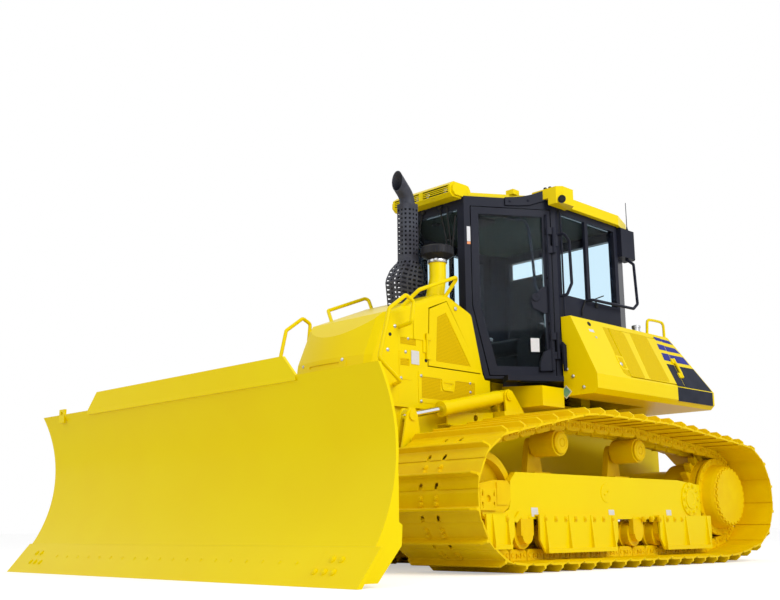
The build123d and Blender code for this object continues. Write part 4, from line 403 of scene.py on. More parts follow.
def choose_faces(piece, test):
    """Enters edit mode with those faces selected whose middle and normal pass a test."""
    only(piece)
    bpy.ops.object.mode_set(mode="EDIT")
    bpy.ops.mesh.select_mode(type="FACE")
    bpy.ops.mesh.select_all(action="DESELECT")
    mesh = bmesh.from_edit_mesh(piece.data)
    for face in mesh.faces:
        if test(face.calc_center_median(), face.normal):
            face.select = True
    bmesh.update_edit_mesh(piece.data)


def leave_edit():
    """Back to object mode."""
    bpy.ops.object.mode_set(mode="OBJECT")


def inset_faces(piece, test, border, rise):
    """Insets the faces that pass a test, and raises or sinks what is inside the border."""
    choose_faces(piece, test)
    bpy.ops.mesh.inset(thickness=border * MM, depth=rise * MM)
    leave_edit()


def sunk(piece, facing, border, lip, depth):
    """Sinks a panel into the face that looks along a direction, inside a flat border."""
    facing = Vector(facing)
    choose_faces(piece, lambda middle, normal: normal.dot(facing) > 0.99)
    bpy.ops.mesh.inset(thickness=border * MM, depth=0.0)
    bpy.ops.mesh.inset(thickness=lip * MM, depth=-depth * MM)
    leave_edit()
    return piece


def block(low, high, edge=0.0, steps=2):
    """A block between two corners in the maker's millimetres, with rounded edges."""
    a, b = at(*low), at(*high)
    fresh()
    bpy.ops.mesh.primitive_cube_add(size=1.0, location=(a + b) / 2, scale=[abs(value) for value in b - a])
    piece = settled()
    return rounded(piece, edge, steps) if edge else piece


def bar(start, end, wide, high, edge=2.0):
    """A flat bar between two places, wide across and high in the upright plane."""
    a, b = at(*start), at(*end)
    turn = (b - a).to_track_quat("X", "Z").to_euler()
    size = ((b - a).length, wide * MM, high * MM)
    fresh()
    bpy.ops.mesh.primitive_cube_add(size=1.0, location=(a + b) / 2, rotation=turn, scale=size)
    return rounded(settled(), edge, 2)


def flat_shape(places, push):
    """A shape of these corners, thickened by a push."""
    fresh()
    bpy.ops.mesh.primitive_circle_add(vertices=len(places), fill_type="NGON")
    piece = bpy.context.active_object
    for vertex, place in zip(piece.data.vertices, places):
        vertex.co = place
    bpy.ops.object.mode_set(mode="EDIT")
    bpy.ops.mesh.select_all(action="SELECT")
    bpy.ops.mesh.extrude_region_move(TRANSFORM_OT_translate={"value": tuple(push)})
    bpy.ops.mesh.select_all(action="SELECT")
    bpy.ops.mesh.normals_make_consistent(inside=False)
    leave_edit()
    return piece


def plate(outline, normal, back, front, edge=0.0, steps=1):
    """A flat plate: its outline in the maker's millimetres, its faces as distances along its normal."""
    normal = Vector(normal).normalized()
    places = [at(*corner) + normal * back * MM for corner in outline]
    piece = flat_shape(places, normal * (front - back) * MM)
    return rounded(piece, edge, steps) if edge else piece


def turned(centre, axis, profile, steps=24, ring=False):
    """A round piece from pairs of reach along the axis and radius; a ring's profile is closed."""
    axis = Vector(axis).normalized()
    across = axis.orthogonal().normalized()
    middle = at(*centre)
    fresh()
    bpy.ops.mesh.primitive_circle_add(vertices=len(profile), fill_type="NOTHING")
    piece = bpy.context.active_object
    for vertex, (reach, radius) in zip(piece.data.vertices, profile):
        vertex.co = middle + (axis * reach + across * radius) * MM
    bpy.ops.object.mode_set(mode="EDIT")
    if not ring:
        bpy.ops.mesh.select_mode(type="EDGE")
        bpy.ops.mesh.select_all(action="DESELECT")
        mesh = bmesh.from_edit_mesh(piece.data)
        ends = {0, len(profile) - 1}
        for edge in mesh.edges:
            edge.select = {vertex.index for vertex in edge.verts} == ends
        bmesh.update_edit_mesh(piece.data)
        bpy.ops.mesh.delete(type="EDGE")
    bpy.ops.mesh.select_mode(type="VERT")
    bpy.ops.mesh.select_all(action="SELECT")
    bpy.ops.mesh.spin(steps=steps, angle=math.tau, center=middle, axis=axis)
    bpy.ops.mesh.select_all(action="SELECT")
    bpy.ops.mesh.remove_doubles(threshold=0.000001)
    bpy.ops.mesh.normals_make_consistent(inside=False)
    leave_edit()
    return piece


def tube(points, radius):
    """A bent round bar along these points."""
    curve = bpy.data.curves.new("tube", "CURVE")
    curve.dimensions = "3D"
    curve.bevel_depth = radius * MM
    curve.bevel_resolution = 2
    curve.resolution_u = 6
    curve.use_fill_caps = True
    spline = curve.splines.new("NURBS")
    spline.points.add(len(points) - 1)
    for point, place in zip(spline.points, points):
        point.co = (*at(*place), 1.0)
    spline.order_u = 3
    spline.use_endpoint_u = True
    piece = bpy.data.objects.new("tube", curve)
    bpy.context.scene.collection.objects.link(piece)
    only(piece)
    bpy.ops.object.convert(target="MESH")
    return bpy.context.active_object


def crowned(sides, radius, height, middle, border, rise):
    """A short upright prism or disc on the z axis with a raised top."""
    fresh()
    bpy.ops.mesh.primitive_cylinder_add(
        vertices=sides, radius=radius * MM, depth=height * MM, location=(0.0, 0.0, middle * MM)
    )
    piece = settled()
    inset_faces(piece, lambda place, normal: normal.z > 0.9, border, rise)
    return piece


def bolt(size, height, washer=True):
    """A hexagon head on its washer, at the origin; size is its radius to the corners."""
    parts = [crowned(6, size, height, height / 2, size * 0.2, size * 0.14)]
    if washer:
        parts.append(crowned(12, size * 1.4, size * 0.5, size * 0.1, size * 0.1, size * 0.05))
    return joined(parts)


def stand(spot, normal, turn=0.0):
    """A matrix that stands a piece on a spot, with its own z along a normal."""
    upright = Vector(normal).to_track_quat("Z", "Y").to_matrix().to_4x4()
    return Matrix.Translation(spot) @ upright @ Matrix.Rotation(math.radians(turn), 4, "Z")


# How far before its place a line that looks for a surface starts, in metres
SET_BACK = 0.3


def seated(node, place, direction, turn=0.0):
    """Where a line along a direction through a place meets a node, as a matrix that stands on it."""
    direction = Vector(direction).normalized()
    start = at(*place) - direction * SET_BACK
    found, spot, normal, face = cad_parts[node].ray_cast(start, direction)
    if not found:
        raise RuntimeError(f"the line through {place} misses {node}")
    return stand(spot, normal, turn)


def bolts_on(node, places, direction, size, height, turn=12.0, washer=True):
    """Bolt heads on a node's surface, where lines through the places meet it."""
    spots = [seated(node, place, direction, turn * index) for index, place in enumerate(places)]
    return copies(bolt(size, height, washer), spots)


def settle(piece, name, finish, body, smooth=35.0):
    """Names a finished piece, gives it its finish and lets it ride on its body."""
    piece.name = name
    piece.data.name = name
    piece.data.materials.clear()
    piece.data.materials.append(MADE[finish])
    only(piece)
    bpy.ops.object.shade_smooth_by_angle(angle=math.radians(smooth))
    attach(piece, body)
    return piece


MIRROR = Matrix.Scale(-1.0, 4, (0.0, 1.0, 0.0))


def settle_pair(piece, name, finish, body, smooth=35.0):
    """Settles a left piece and its mirror image; a body with a side follows it."""
    twin = twin_of(piece, MIRROR)
    settle(piece, f"{name}_left", finish, body, smooth)
    settle(twin, f"{name}_right", finish, body.replace("_left", "_right"), smooth)


# Tracks
# The rounds that the pitch line wraps: x, z and radius of sprocket, carriers, idler and last roller
WRAPS = (
    (0.0, 549.0, 383.0), (1210.0, 898.0, 145.0), (2272.0, 908.0, 145.0), (3165.0, 485.0, 383.0),
    (330.0, 239.0, 137.0),
)
TRACK_Y = 1065.0
SHOE_COUNT = 46
SHOE_HALF = 430.0
SHOE_TOP = 54.0
GROUSER_TIP = 102.0
GROUSER_END_CUT = 37.0
GROUSER_THICK = 20.0
GROUSER_END_SHARE = 0.43
HOLE_HALF = 17.0
RAIL_SPREAD = 84.0
RAIL_HALF = 21.0
RAIL_DEPTH = 45.0
# Share of a link from its pin to its grouser, and how far the pins lie ahead of the CAD's
GROUSER_SHARE = 0.76
PIN_SHIFT = 0.42


def chain_line():
    """Arcs and straight runs of the pitch line, clockwise seen from the left: (kind, values, length)."""
    pairs = list(zip(WRAPS, WRAPS[1:] + WRAPS[:1]))
    normals = []
    for (x0, z0, r0), (x1, z1, r1) in pairs:
        lean = math.asin((r0 - r1) / math.hypot(x1 - x0, z1 - z0))
        normals.append(math.atan2(z1 - z0, x1 - x0) + math.pi / 2 - lean)
    line = []
    for index, ((x0, z0, r0), (x1, z1, r1)) in enumerate(pairs):
        enter, leave = normals[index - 1], normals[index]
        line.append(("arc", (x0, z0, r0, enter), (enter - leave) % (2 * math.pi) * r0))
        start = (x0 + r0 * math.cos(leave), z0 + r0 * math.sin(leave))
        end = (x1 + r1 * math.cos(leave), z1 + r1 * math.sin(leave))
        line.append(("run", (start, end), math.dist(start, end)))
    return line


def line_point(line, distance):
    """The point of the pitch line at a distance from its start."""
    distance %= sum(length for kind, values, length in line)
    for kind, values, length in line:
        if distance <= length:
            break
        distance -= length
    if kind == "arc":
        x, z, radius, enter = values
        angle = enter - distance / radius
        return x + radius * math.cos(angle), z + radius * math.sin(angle)
    (x0, z0), (x1, z1) = values
    share = distance / length
    return x0 + (x1 - x0) * share, z0 + (z1 - z0) * share


def chain_pins():
    """Pins of the chain, one link apart."""
    line = chain_line()
    pitch = sum(length for kind, values, length in line) / SHOE_COUNT
    return [line_point(line, (index + PIN_SHIFT) * pitch) for index in range(SHOE_COUNT)]


def local(u, v, w):
    """A place on a link at the origin: u along the chain, v across, w outward, in millimetres."""
    return Vector((u, v, w)) * MM


def shoe(pitch):
    """A shoe with its ramp, grouser, cut ends and lip with two mud holes."""
    g = pitch * GROUSER_SHARE
    back = g + GROUSER_THICK
    section = [(20, 38), (22, 44), (50, 52), (60, SHOE_TOP), (g - 8, SHOE_TOP), (g - 1, 62), (g + 1, 98)]
    section += [(g + 4, GROUSER_TIP), (back - 5, GROUSER_TIP), (back - 1, 98), (back + 1, 64)]
    section += [(back + 10, 54), (back + 30, 47), (g + 82, 38), (g + 92, 31), (g + 88, 28)]
    section += [(g + 55, 38), (g + 10, 40)]
    ends = [-SHOE_HALF, -SHOE_HALF + GROUSER_END_CUT, SHOE_HALF - GROUSER_END_CUT, SHOE_HALF]
    piece = flat_shape([local(u, ends[0], w) for u, w in section], local(0, ends[1] - ends[0], 0))
    for start, end in zip(ends[1:], ends[2:]):
        choose_faces(piece, lambda place, normal: normal.y > 0.9 and abs(place.y - start * MM) < 0.001)
        bpy.ops.mesh.extrude_region_move(TRANSFORM_OT_translate={"value": (0.0, (end - start) * MM, 0.0)})
        leave_edit()
    for vertex in piece.data.vertices:
        above = vertex.co.z - SHOE_TOP * MM
        if abs(abs(vertex.co.y) - SHOE_HALF * MM) < 0.0001 and above > 0:
            vertex.co.z = SHOE_TOP * MM + above * GROUSER_END_SHARE
    for v in (-RAIL_SPREAD + 14, RAIL_SPREAD - 14):
        angles = [-math.pi * step / 6 for step in range(7)]
        arch = [(g + 62 + HOLE_HALF * math.sin(angle), v + HOLE_HALF * math.cos(angle)) for angle in angles]
        arch += [(g + 110, v - HOLE_HALF), (g + 110, v + HOLE_HALF)]
        piece = cut(piece, flat_shape([local(u, y, 20) for u, y in arch], local(0, 0, 40)))
    return piece


def link_rail(pitch, side):
    """One side link: a rounded block with its two slots, nut and pin ends on the outer face."""
    inner, outer = RAIL_SPREAD - RAIL_HALF, RAIL_SPREAD + RAIL_HALF
    end = pitch - 4
    outline = [(4, 40), (end, 40), (end, -22), (end - 20, -RAIL_DEPTH), (24, -RAIL_DEPTH), (4, -22)]
    places = [local(u, side * inner, w) for u, w in outline]
    parts = [rounded(flat_shape(places, local(0, side * (outer - inner), 0)), 5, 1)]
    middle = pitch / 2 - 4
    for u in (middle - 24, middle + 24):
        angles = [math.tau * step / 10 for step in range(10)]
        slot = [(u + 8 * math.cos(angle), 2 + 20 * math.sin(angle)) for angle in angles]
        tool = flat_shape([local(x, side * (outer - 9), w) for x, w in slot], local(0, side * 20, 0))
        parts[0] = cut(parts[0], tool)
    spots = [stand(local(middle, side * outer, -2), (0.0, side, 0.0))]
    parts.append(copies(bolt(11, 7, washer=False), spots))
    for u in (26, pitch - 30):
        fresh()
        bpy.ops.mesh.primitive_cylinder_add(
            vertices=14, radius=15 * MM, depth=8 * MM, rotation=(math.pi / 2, 0.0, 0.0),
            location=local(u, side * (outer + 1), -6)
        )
        parts.append(settled())
        inset_faces(parts[-1], lambda place, normal: normal.y * side > 0.9, 4, -3)
    return joined(parts)


def one_link(pitch):
    """A shoe with its two rails and four bolts, at the origin."""
    spread = RAIL_SPREAD - 15
    places = [(u, v) for u in (80, pitch * GROUSER_SHARE - 26) for v in (-spread, spread)]
    heads = [stand(local(u, v, SHOE_TOP), UP, 20 * v) for u, v in places]
    return joined([shoe(pitch), link_rail(pitch, -1), link_rail(pitch, 1), copies(bolt(15, 13), heads)])


def link_places(pins):
    """Matrices that lay a link from each pin to the next, with its outer side outwards."""
    places = []
    for (x0, z0), (x1, z1) in zip(pins, pins[1:] + pins[:1]):
        reach = math.dist((x0, z0), (x1, z1))
        along = Vector(((x1 - x0) / reach, 0.0, (z1 - z0) / reach))
        out = Vector((-along.z, 0.0, along.x))
        turn = Matrix((along, Vector(OUTWARD), out)).transposed().to_4x4()
        places.append(Matrix.Translation(at(x0, TRACK_Y, z0)) @ turn)
    return places


class BULLDOZER_OT_tracks(bpy.types.Operator):
    """Lay the shoes, links and bolts of both tracks"""

    bl_idname = "bulldozer.tracks"
    bl_label = "Tracks"

    def execute(self, context):
        pins = chain_pins()
        left = copies(one_link(math.dist(pins[8], pins[9])), link_places(pins))
        right = twin_of(left, Matrix.Translation((0.0, -2 * TRACK_Y * MM, 0.0)))
        for piece, side in ((left, "left"), (right, "right")):
            settle(piece, f"track_chain_{side}", "track_paint", "chassis", 30.0)
            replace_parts(piece, f"track_{side}")
        return {"FINISHED"}


# Running gear
GUARD_SPANS = ((2952.0, 3100.0), (1710.0, 2660.0), (700.0, 1380.0))
CARRIERS = ((1210.0, 898.0), (2272.0, 908.0))
HUB = (0.0, 549.0)
HUB_FACE = 1308.0
FLANGE = (520.0, 520.0)
FRAME_FACE = 1215.0
# Where lines that look for a surface from the left side start
BESIDE = 1400.0


def round_places(x, z, radius, count, phase=0.0):
    """Places on a circle that faces sideways, beside the machine."""
    angles = (math.tau * (step + phase) / count for step in range(count))
    return [(x + radius * math.cos(angle), BESIDE, z + radius * math.sin(angle)) for angle in angles]


def scalloped_cover(radius=242.0, notch=16.0, count=26):
    """The hub's flat cover, with a notch round each rim bolt."""
    outline = []
    for index in range(count):
        for step in range(-2, 3):
            lean = step * math.pi / 4
            reach = radius - notch * math.cos(lean)
            angle = math.tau * index / count + notch * math.sin(lean) / radius
            outline.append((HUB[0] + reach * math.cos(angle), HUB_FACE, HUB[1] + reach * math.sin(angle)))
    return plate(outline, OUTWARD, 0, 12, 2)


def hub_bolts():
    """Bolts round the hub cover's rim and on the drive ring."""
    rim = bolts_on("sprocket_left", round_places(*HUB, 240, 26), INWARD, 10, 9)
    settle_pair(rim, "hub_bolts", "track_paint", "chassis")
    ring = bolts_on("sprocket_left", round_places(*HUB, 312, 20, 0.5), INWARD, 11, 9)
    settle_pair(ring, "drive_ring_bolts", "track_paint", "chassis")


def frame_flange():
    """The bolted lid on the track frame's side."""
    bolts = bolts_on("track_frame_left", round_places(*FLANGE, 112, 10), INWARD, 13, 10)
    profile = [(0, 84), (6, 84), (9, 80), (9, 52), (5, 48), (5, 0)]
    lid = turned((FLANGE[0], FRAME_FACE + 11, FLANGE[1]), OUTWARD, profile, 32)
    settle_pair(joined([bolts, lid]), "frame_flange", "yellow_paint", "chassis")


def carrier_rings():
    """Rings and caps on the ends of the carrier rollers."""
    ring = [(0, 66), (3, 66), (4, 63), (4, 58), (3, 55), (0, 55)]
    cap = [(0, 30), (5, 30), (8, 26), (8, 0)]
    parts = []
    for x, z in CARRIERS:
        parts.append(turned((x, 1194, z), OUTWARD, ring, 32, True))
        parts.append(turned((x, 1189, z), OUTWARD, cap, 24))
    settle_pair(joined(parts), "carrier_rings", "track_paint", "chassis")


def frame_fittings():
    """Bolts of the frame's covers and of the idler's yoke, and the bracket before it."""
    small = [(1748, BESIDE, 560), (1790, BESIDE, 536)]
    large = [(x, BESIDE, z) for z in (430, 536) for x in (3112, 3242)]
    parts = [bolts_on("track_frame_left", small, INWARD, 8, 6), bolts_on("idler_left", large, INWARD, 13, 10)]
    corners = [(x, FRAME_FACE, z) for x, z in ((2920, 338), (2850, 405), (2812, 372), (2876, 324))]
    parts.append(plate(corners, OUTWARD, 0, 14, 3))
    settle_pair(joined(parts), "frame_fittings", "yellow_paint", "chassis")


def ledge_bolts(first=680.0, last=2780.0, pairs=7, half=46.0):
    """Pairs of bolts along the frame's ledge."""
    step = (last - first) / (pairs - 1)
    places = [(first + step * index + side * half, BESIDE, 360) for index in range(pairs) for side in (-1, 1)]
    bolts = bolts_on("track_frame_left", places, INWARD, 9, 7)
    settle_pair(bolts, "ledge_bolts", "yellow_paint", "chassis")


def guard_lugs(distance=120.0):
    """Lugs with a bolt each along the tops of the roller guards."""
    lugs, heads = [], []
    for start, end in GUARD_SPANS:
        count = round((end - start) / distance)
        for index in range(count):
            x = start + (end - start) * (index + 0.5) / count
            lugs.append(block((x - 17, 1244, 330), (x + 17, 1268, 372), 4))
            heads.append(stand(at(x, 1268, 351), OUTWARD, 17 * index))
    lugs.append(copies(bolt(10, 8), heads))
    settle_pair(joined(lugs), "guard_lugs", "track_paint", "chassis")


def frame_labels():
    """Blank labels on the frame, a little slanted."""
    corner = ((42, 38), (-34, 38), (-42, -38), (34, -38))
    labels = []
    for x, z in ((2661, 392), (1705, 384), (872, 389)):
        labels.append(plate([(x + a, FRAME_FACE, z + b) for a, b in corner], OUTWARD, 0, 2, 0.8))
    settle_pair(joined(labels), "frame_labels", "label_film", "chassis")


class BULLDOZER_OT_running_gear(bpy.types.Operator):
    """Fit the covers, rings, bolts and blank plates of the running gear"""

    bl_idname = "bulldozer.running_gear"
    bl_label = "Running gear"

    def execute(self, context):
        settle_pair(scalloped_cover(), "hub_cover", "track_paint", "chassis")
        hub_bolts()
        frame_flange()
        carrier_rings()
        frame_fittings()
        ledge_bolts()
        guard_lugs()
        frame_labels()
        return {"FINISHED"}


# Blade
class BULLDOZER_OT_blade_bolts(bpy.types.Operator):
    """Put the bolts on the cutting edge and end bits"""

    bl_idname = "bulldozer.blade_bolts"
    bl_label = "Blade bolts"

    def execute(self, context):
        ahead = 5200
        corner = [(ahead, y, z) for y, z in ((1622, 138), (1695, 138), (1536, 76), (1613, 76), (1684, 76))]
        corner += [(x, -y, z) for x, y, z in corner]
        heads = bolts_on("cutting_edge", corner, BACKWARD, 15, 8, 0.0)
        row = [(ahead, -1350 + 150 * index, 118) for index in range(19)]
        flush = bolts_on("cutting_edge", row, BACKWARD, 12, 2, 0.0, washer=False)
        settle(joined([heads, flush]), "edge_bolts", "yellow_paint", "blade")
        return {"FINISHED"}


# Side bodies: the leaning face passes through FACE_TOP at its upper edge, and the door's seams stand upright
FACE_RISE = 505.0
FACE_RUN = 235.0
FACE_TOP = (905.0, 1995.0)
FACE_LEAN = Vector((0.0, FACE_RISE, FACE_RUN)).normalized()
SKIRT_Y = 1140.0
DECK_FRONT_X = 1689.0
DOOR_REAR = 330.0
DOOR_FRONT = 1180.0
DOOR_SEAM = 6.0
STRIPES = (
    ((449, 1966), (182, 1960), (142, 1927), (437, 1934)),
    ((450, 1898), (141, 1890), (88, 1844), (456, 1842)),
    ((454, 1810), (70, 1811), (21, 1739), (465, 1738)),
)
SCREENS = (
    ((1258, 1952), (1003, 1943), (958, 1924), (968, 1524), (985, 1512), (1222, 1512), (1268, 1536),
     (1272, 1560)),
    ((850, 1952), (600, 1952), (584, 1936), (567, 1533), (580, 1521), (874, 1516), (890, 1530)),
)
SLATE = ((462, 1704), (-12, 1706), (-132, 1535), (-148, 1497), (460, 1497))
LOOP_BENDS = (
    (480, 1990), (474, 2060), (464, 2128), (390, 2136), (300, 2138), (196, 2136), (188, 2070), (188, 1990),
)
DIAMOND_CENTRE = (833, 1367)
SIDE_BOLTS = ((1900, 1007, 1391), (1900, 908, 1489), (1900, 848, 1553))


def on_face(x, z):
    """A place on the side body's leaning face."""
    y, top = FACE_TOP
    return (x, y + (top - z) * FACE_RUN / FACE_RISE, z)


def clipped(outline, limit, side):
    """What is left of an outline of (x, z) on one side of an upright line."""
    kept = []
    for (x0, z0), (x1, z1) in zip(outline, outline[1:] + outline[:1]):
        if (x0 - limit) * side >= 0:
            kept.append((x0, z0))
        if (x0 - limit) * (x1 - limit) < 0:
            kept.append((limit, z0 + (z1 - z0) * (limit - x0) / (x1 - x0)))
    return kept


def face_plate(outline, lift, thick, edge=0.0):
    """A plate on the leaning face."""
    return plate([on_face(x, z) for x, z in outline], FACE_LEAN, lift, lift + thick, edge)


def face_disc(x, z, profile, steps):
    """A round piece on the leaning face."""
    return turned(on_face(x, z), FACE_LEAN, profile, steps)


def split_plates(outlines, thick):
    """Plates on the side body and on its door, split where the door's seams cross them."""
    body, door = [], []
    for outline in outlines:
        behind = clipped(outline, DOOR_REAR - DOOR_SEAM, -1)
        ahead = clipped(outline, DOOR_FRONT + DOOR_SEAM, 1)
        inside = clipped(clipped(outline, DOOR_REAR + DOOR_SEAM, 1), DOOR_FRONT - DOOR_SEAM, -1)
        body += [face_plate(part, -0.5, thick + 0.5) for part in (behind, ahead) if len(part) > 2]
        if len(inside) > 2:
            door.append(face_plate(inside, 3.5, thick + 0.5))
    return joined(body), joined(door)


def side_films():
    """Stripes, screens and the slate panel with its skirt below the lean."""
    for name, outlines, finish in (
        ("stripe", STRIPES, "stripe_film"),
        ("side_screen", SCREENS, "screen_yellow"),
    ):
        body, door = split_plates(outlines, 1.2)
        settle_pair(body, f"{name}_body", finish, "chassis")
        settle_pair(door, f"{name}_door", finish, "body_door_left")
    body, door = split_plates([SLATE], 1.0)
    high, low, seam = 1489, 1366, DOOR_REAR - DOOR_SEAM
    behind = ((-149, high), (-145, low), (seam, low), (seam, high))
    ahead = ((seam, high), (seam, low), (460, low), (460, high))
    skirts = [plate([(x, SKIRT_Y, z) for x, z in part], OUTWARD, -0.5, 1) for part in (behind, ahead)]
    settle_pair(joined([body] + skirts), "slate_body", "panel_film", "chassis")
    settle_pair(door, "slate_door", "panel_film", "body_door_left")


def side_fittings():
    """The latch with its recess, a dot, a grommet, a blank label and the filler cap."""
    recess = [(1278, 1690), (1180, 1690), (1168, 1668), (1178, 1572), (1200, 1566), (1268, 1566)]
    panel = sunk(face_plate(recess, 0, 5, 2), FACE_LEAN, 10, 4, 4)
    settle_pair(panel, "latch_recess", "yellow_paint", "chassis")
    latch = face_disc(1250, 1615, [(0, 17), (5, 17), (8, 13), (8, 6), (6, 5), (6, 0)], 20)
    dot = face_disc(1443, 1831, [(0, 11), (4, 11), (6, 8), (6, 0)], 16)
    settle_pair(joined([latch, dot]), "side_latches", "bright_steel", "chassis")
    grommet = face_disc(1457, 1950, [(0, 21), (4, 21), (5, 18), (3, 13), (1, 12), (1, 0)], 24)
    settle_pair(grommet, "side_grommet", "black_rubber", "chassis")
    label = face_plate([(1500, 1900), (1432, 1900), (1432, 1876), (1500, 1876)], 0, 1.5, 0.5)
    settle_pair(label, "side_label", "label_film", "chassis")
    neck = [(0, 44), (10, 44), (12, 34), (40, 34)]
    lid = [(42, 40), (60, 40), (64, 36), (64, 12), (70, 10), (70, 0)]
    settle_pair(turned((629, 862, 1990), UP, neck + lid, 28), "filler_cap", "bright_steel", "chassis")


def lift_loop():
    """The loop handle on the body's top."""
    loop = tube([(x, 880, z) for x, z in LOOP_BENDS], 13)
    settle_pair(loop, "lift_loop", "yellow_paint", "chassis")


def diamond(half_wide, half_high, thick):
    """A diamond plate on the deck's front."""
    y, z = DIAMOND_CENTRE
    corners = ((y, z + half_high), (y - half_wide, z), (y, z - half_high), (y + half_wide, z))
    return plate([(DECK_FRONT_X, a, b) for a, b in corners], FORWARD, -0.5, thick, 0.5)


class BULLDOZER_OT_side_bodies(bpy.types.Operator):
    """Fit the stripes, screens, latch, cap, handle and signs of the side bodies"""

    bl_idname = "bulldozer.side_bodies"
    bl_label = "Side bodies"

    def execute(self, context):
        side_films()
        side_fittings()
        lift_loop()
        settle_pair(diamond(57, 56, 1.2), "diamond_rim", "label_film", "chassis")
        settle_pair(diamond(45, 44, 2.2), "diamond_sign", "sign_film", "chassis")
        heads = bolts_on("side_body_left", SIDE_BOLTS, BACKWARD, 11, 8)
        settle_pair(heads, "side_bolts", "bright_steel", "chassis")
        return {"FINISHED"}


# Hood: its side face, the floors of the covers' recesses, and where lines that look for it start
HOOD_SIDE = 444.0
COVER_FLOOR = 439.0
LOUVRE_FLOOR = 437.0
ABREAST = 700.0
ENGINE_SCREEN = ((2422, 1550), (2704, 1940), (2794, 1896), (2813, 1550))
LOW_SCREEN = (
    (2376, 1254), (2376, 1411), (2598, 1411), (2612, 1322), (2770, 1322), (2768, 1411), (2981, 1411),
    (2981, 1254),
)
LOW_GRIP = (
    (2616, 1408), (2748, 1408), (2762, 1392), (2752, 1340), (2736, 1326), (2634, 1326), (2618, 1344),
    (2606, 1392),
)
HOOD_BOLTS = (
    (3206, 1381), (2990, 1418), (2992, 1225), (2425, 1414), (2422, 1341), (3155, 1582), (3120, 1690),
)
NOSE_BOLTS = ((3258, 1765), (3330, 1581), (3265, 1329), (3379, 1380), (3483, 1453))


def hood_plate(outline, front, edge=0.5, y=HOOD_SIDE):
    """A plate on the hood's side."""
    return plate([(x, y, z) for x, z in outline], OUTWARD, -1, front, edge)


def upright_box(x0, x1, z0, z1):
    """The corners of an upright box."""
    return [(x0, z0), (x1, z0), (x1, z1), (x0, z1)]


def hood_covers():
    """Screens in the engine door, the louvres and the lower cover, and that cover's grip."""
    screen = hood_plate(ENGINE_SCREEN, 1, 0.5, COVER_FLOOR)
    settle_pair(screen, "engine_door_screen", "hood_screen", "engine_door_left")
    screens = [
        hood_plate(upright_box(3044, 3201, 1644, 1688), 1, 0.4, LOUVRE_FLOOR),
        hood_plate(upright_box(3119, 3206, 1482, 1526), 1, 0.4, COVER_FLOOR),
        hood_plate(LOW_SCREEN, 1, 0.4, COVER_FLOOR),
    ]
    settle_pair(joined(screens), "hood_screens", "hood_screen", "chassis")
    grip = sunk(hood_plate(LOW_GRIP, 8, 2, COVER_FLOOR), OUTWARD, 16, 4, 7)
    settle_pair(grip, "hood_grips", "yellow_paint", "chassis")


def hood_fasteners():
    """Bolts of the hood and nose, the grommets and the engine door's latch."""
    for node, places, size, name in (
        ("hood", HOOD_BOLTS, 9, "hood_bolts"),
        ("nose_cowl", NOSE_BOLTS, 10, "nose_bolts"),
    ):
        heads = bolts_on(node, [(x, ABREAST, z) for x, z in places], INWARD, size, 7)
        settle_pair(heads, name, "bright_steel", "chassis")
    front = bolts_on("nose_cowl", [(4200, y, 1509) for y in (-268, 197)], BACKWARD, 9, 7)
    settle(front, "nose_plate_bolts", "bright_steel", "chassis")
    plugs = (("nose_cowl", 3307, 1699), ("hood", 2932, 1540))
    spots = [seated(node, (x, ABREAST, z), INWARD) for node, x, z in plugs]
    grommet = turned((MIDDLE_X, 0, 0), UP, [(0, 13), (3, 13), (4, 10), (2, 7), (2, 0)], 16)
    settle_pair(copies(grommet, spots), "hood_grommets", "black_rubber", "chassis")
    profile = [(-1, 16), (4, 16), (7, 12), (7, 5), (5, 4), (5, 0)]
    latch = turned((2585, HOOD_SIDE, 1993), OUTWARD, profile, 20)
    settle_pair(latch, "engine_door_latch", "bright_steel", "engine_door_left")


class BULLDOZER_OT_hood(bpy.types.Operator):
    """Fit the screens, signs, bolts and grommets of the hood"""

    bl_idname = "bulldozer.hood"
    bl_label = "Hood"

    def execute(self, context):
        hood_covers()
        sign = hood_plate(upright_box(2965, 3066, 1692, 1920), 1.2)
        settle_pair(sign, "hood_sign", "yellow_paint", "chassis")
        label = hood_plate(upright_box(3009, 3094, 1498, 1602), 1.2)
        settle_pair(label, "hood_label", "label_film", "chassis")
        hood_fasteners()
        return {"FINISHED"}


# Exhaust: the stack's axis, the guard's radius and levels, and the height of its unpunched bands
STACK = (2764.0, 100.0)
GUARD_RADIUS = 92.0
GUARD_FOOT, GUARD_KNEE, GUARD_WAIST, GUARD_TOP = 1960.0, 2236.0, 2409.0, 2889.0
GUARD_BAND = 37.0
GUARD_REACH = 95.0
GUARD_FOOT_REACH = 60.0
GUARD_WALL = 4.0
GUARD_RIB = 9.6
PRECLEANER = (2629.0, 300.0)


def guard_octagon():
    """Eight corners and eight middles of the guard's upper part, from its axis."""
    turns = [math.pi / 8 + index * math.pi / 4 for index in range(9)]
    corners = [(math.cos(turn) * GUARD_RADIUS, math.sin(turn) * GUARD_RADIUS) for turn in turns]
    ring = []
    for (a0, b0), (a1, b1) in zip(corners, corners[1:]):
        ring += [(a0, b0), ((a0 + a1) / 2, (b0 + b1) / 2)]
    return ring


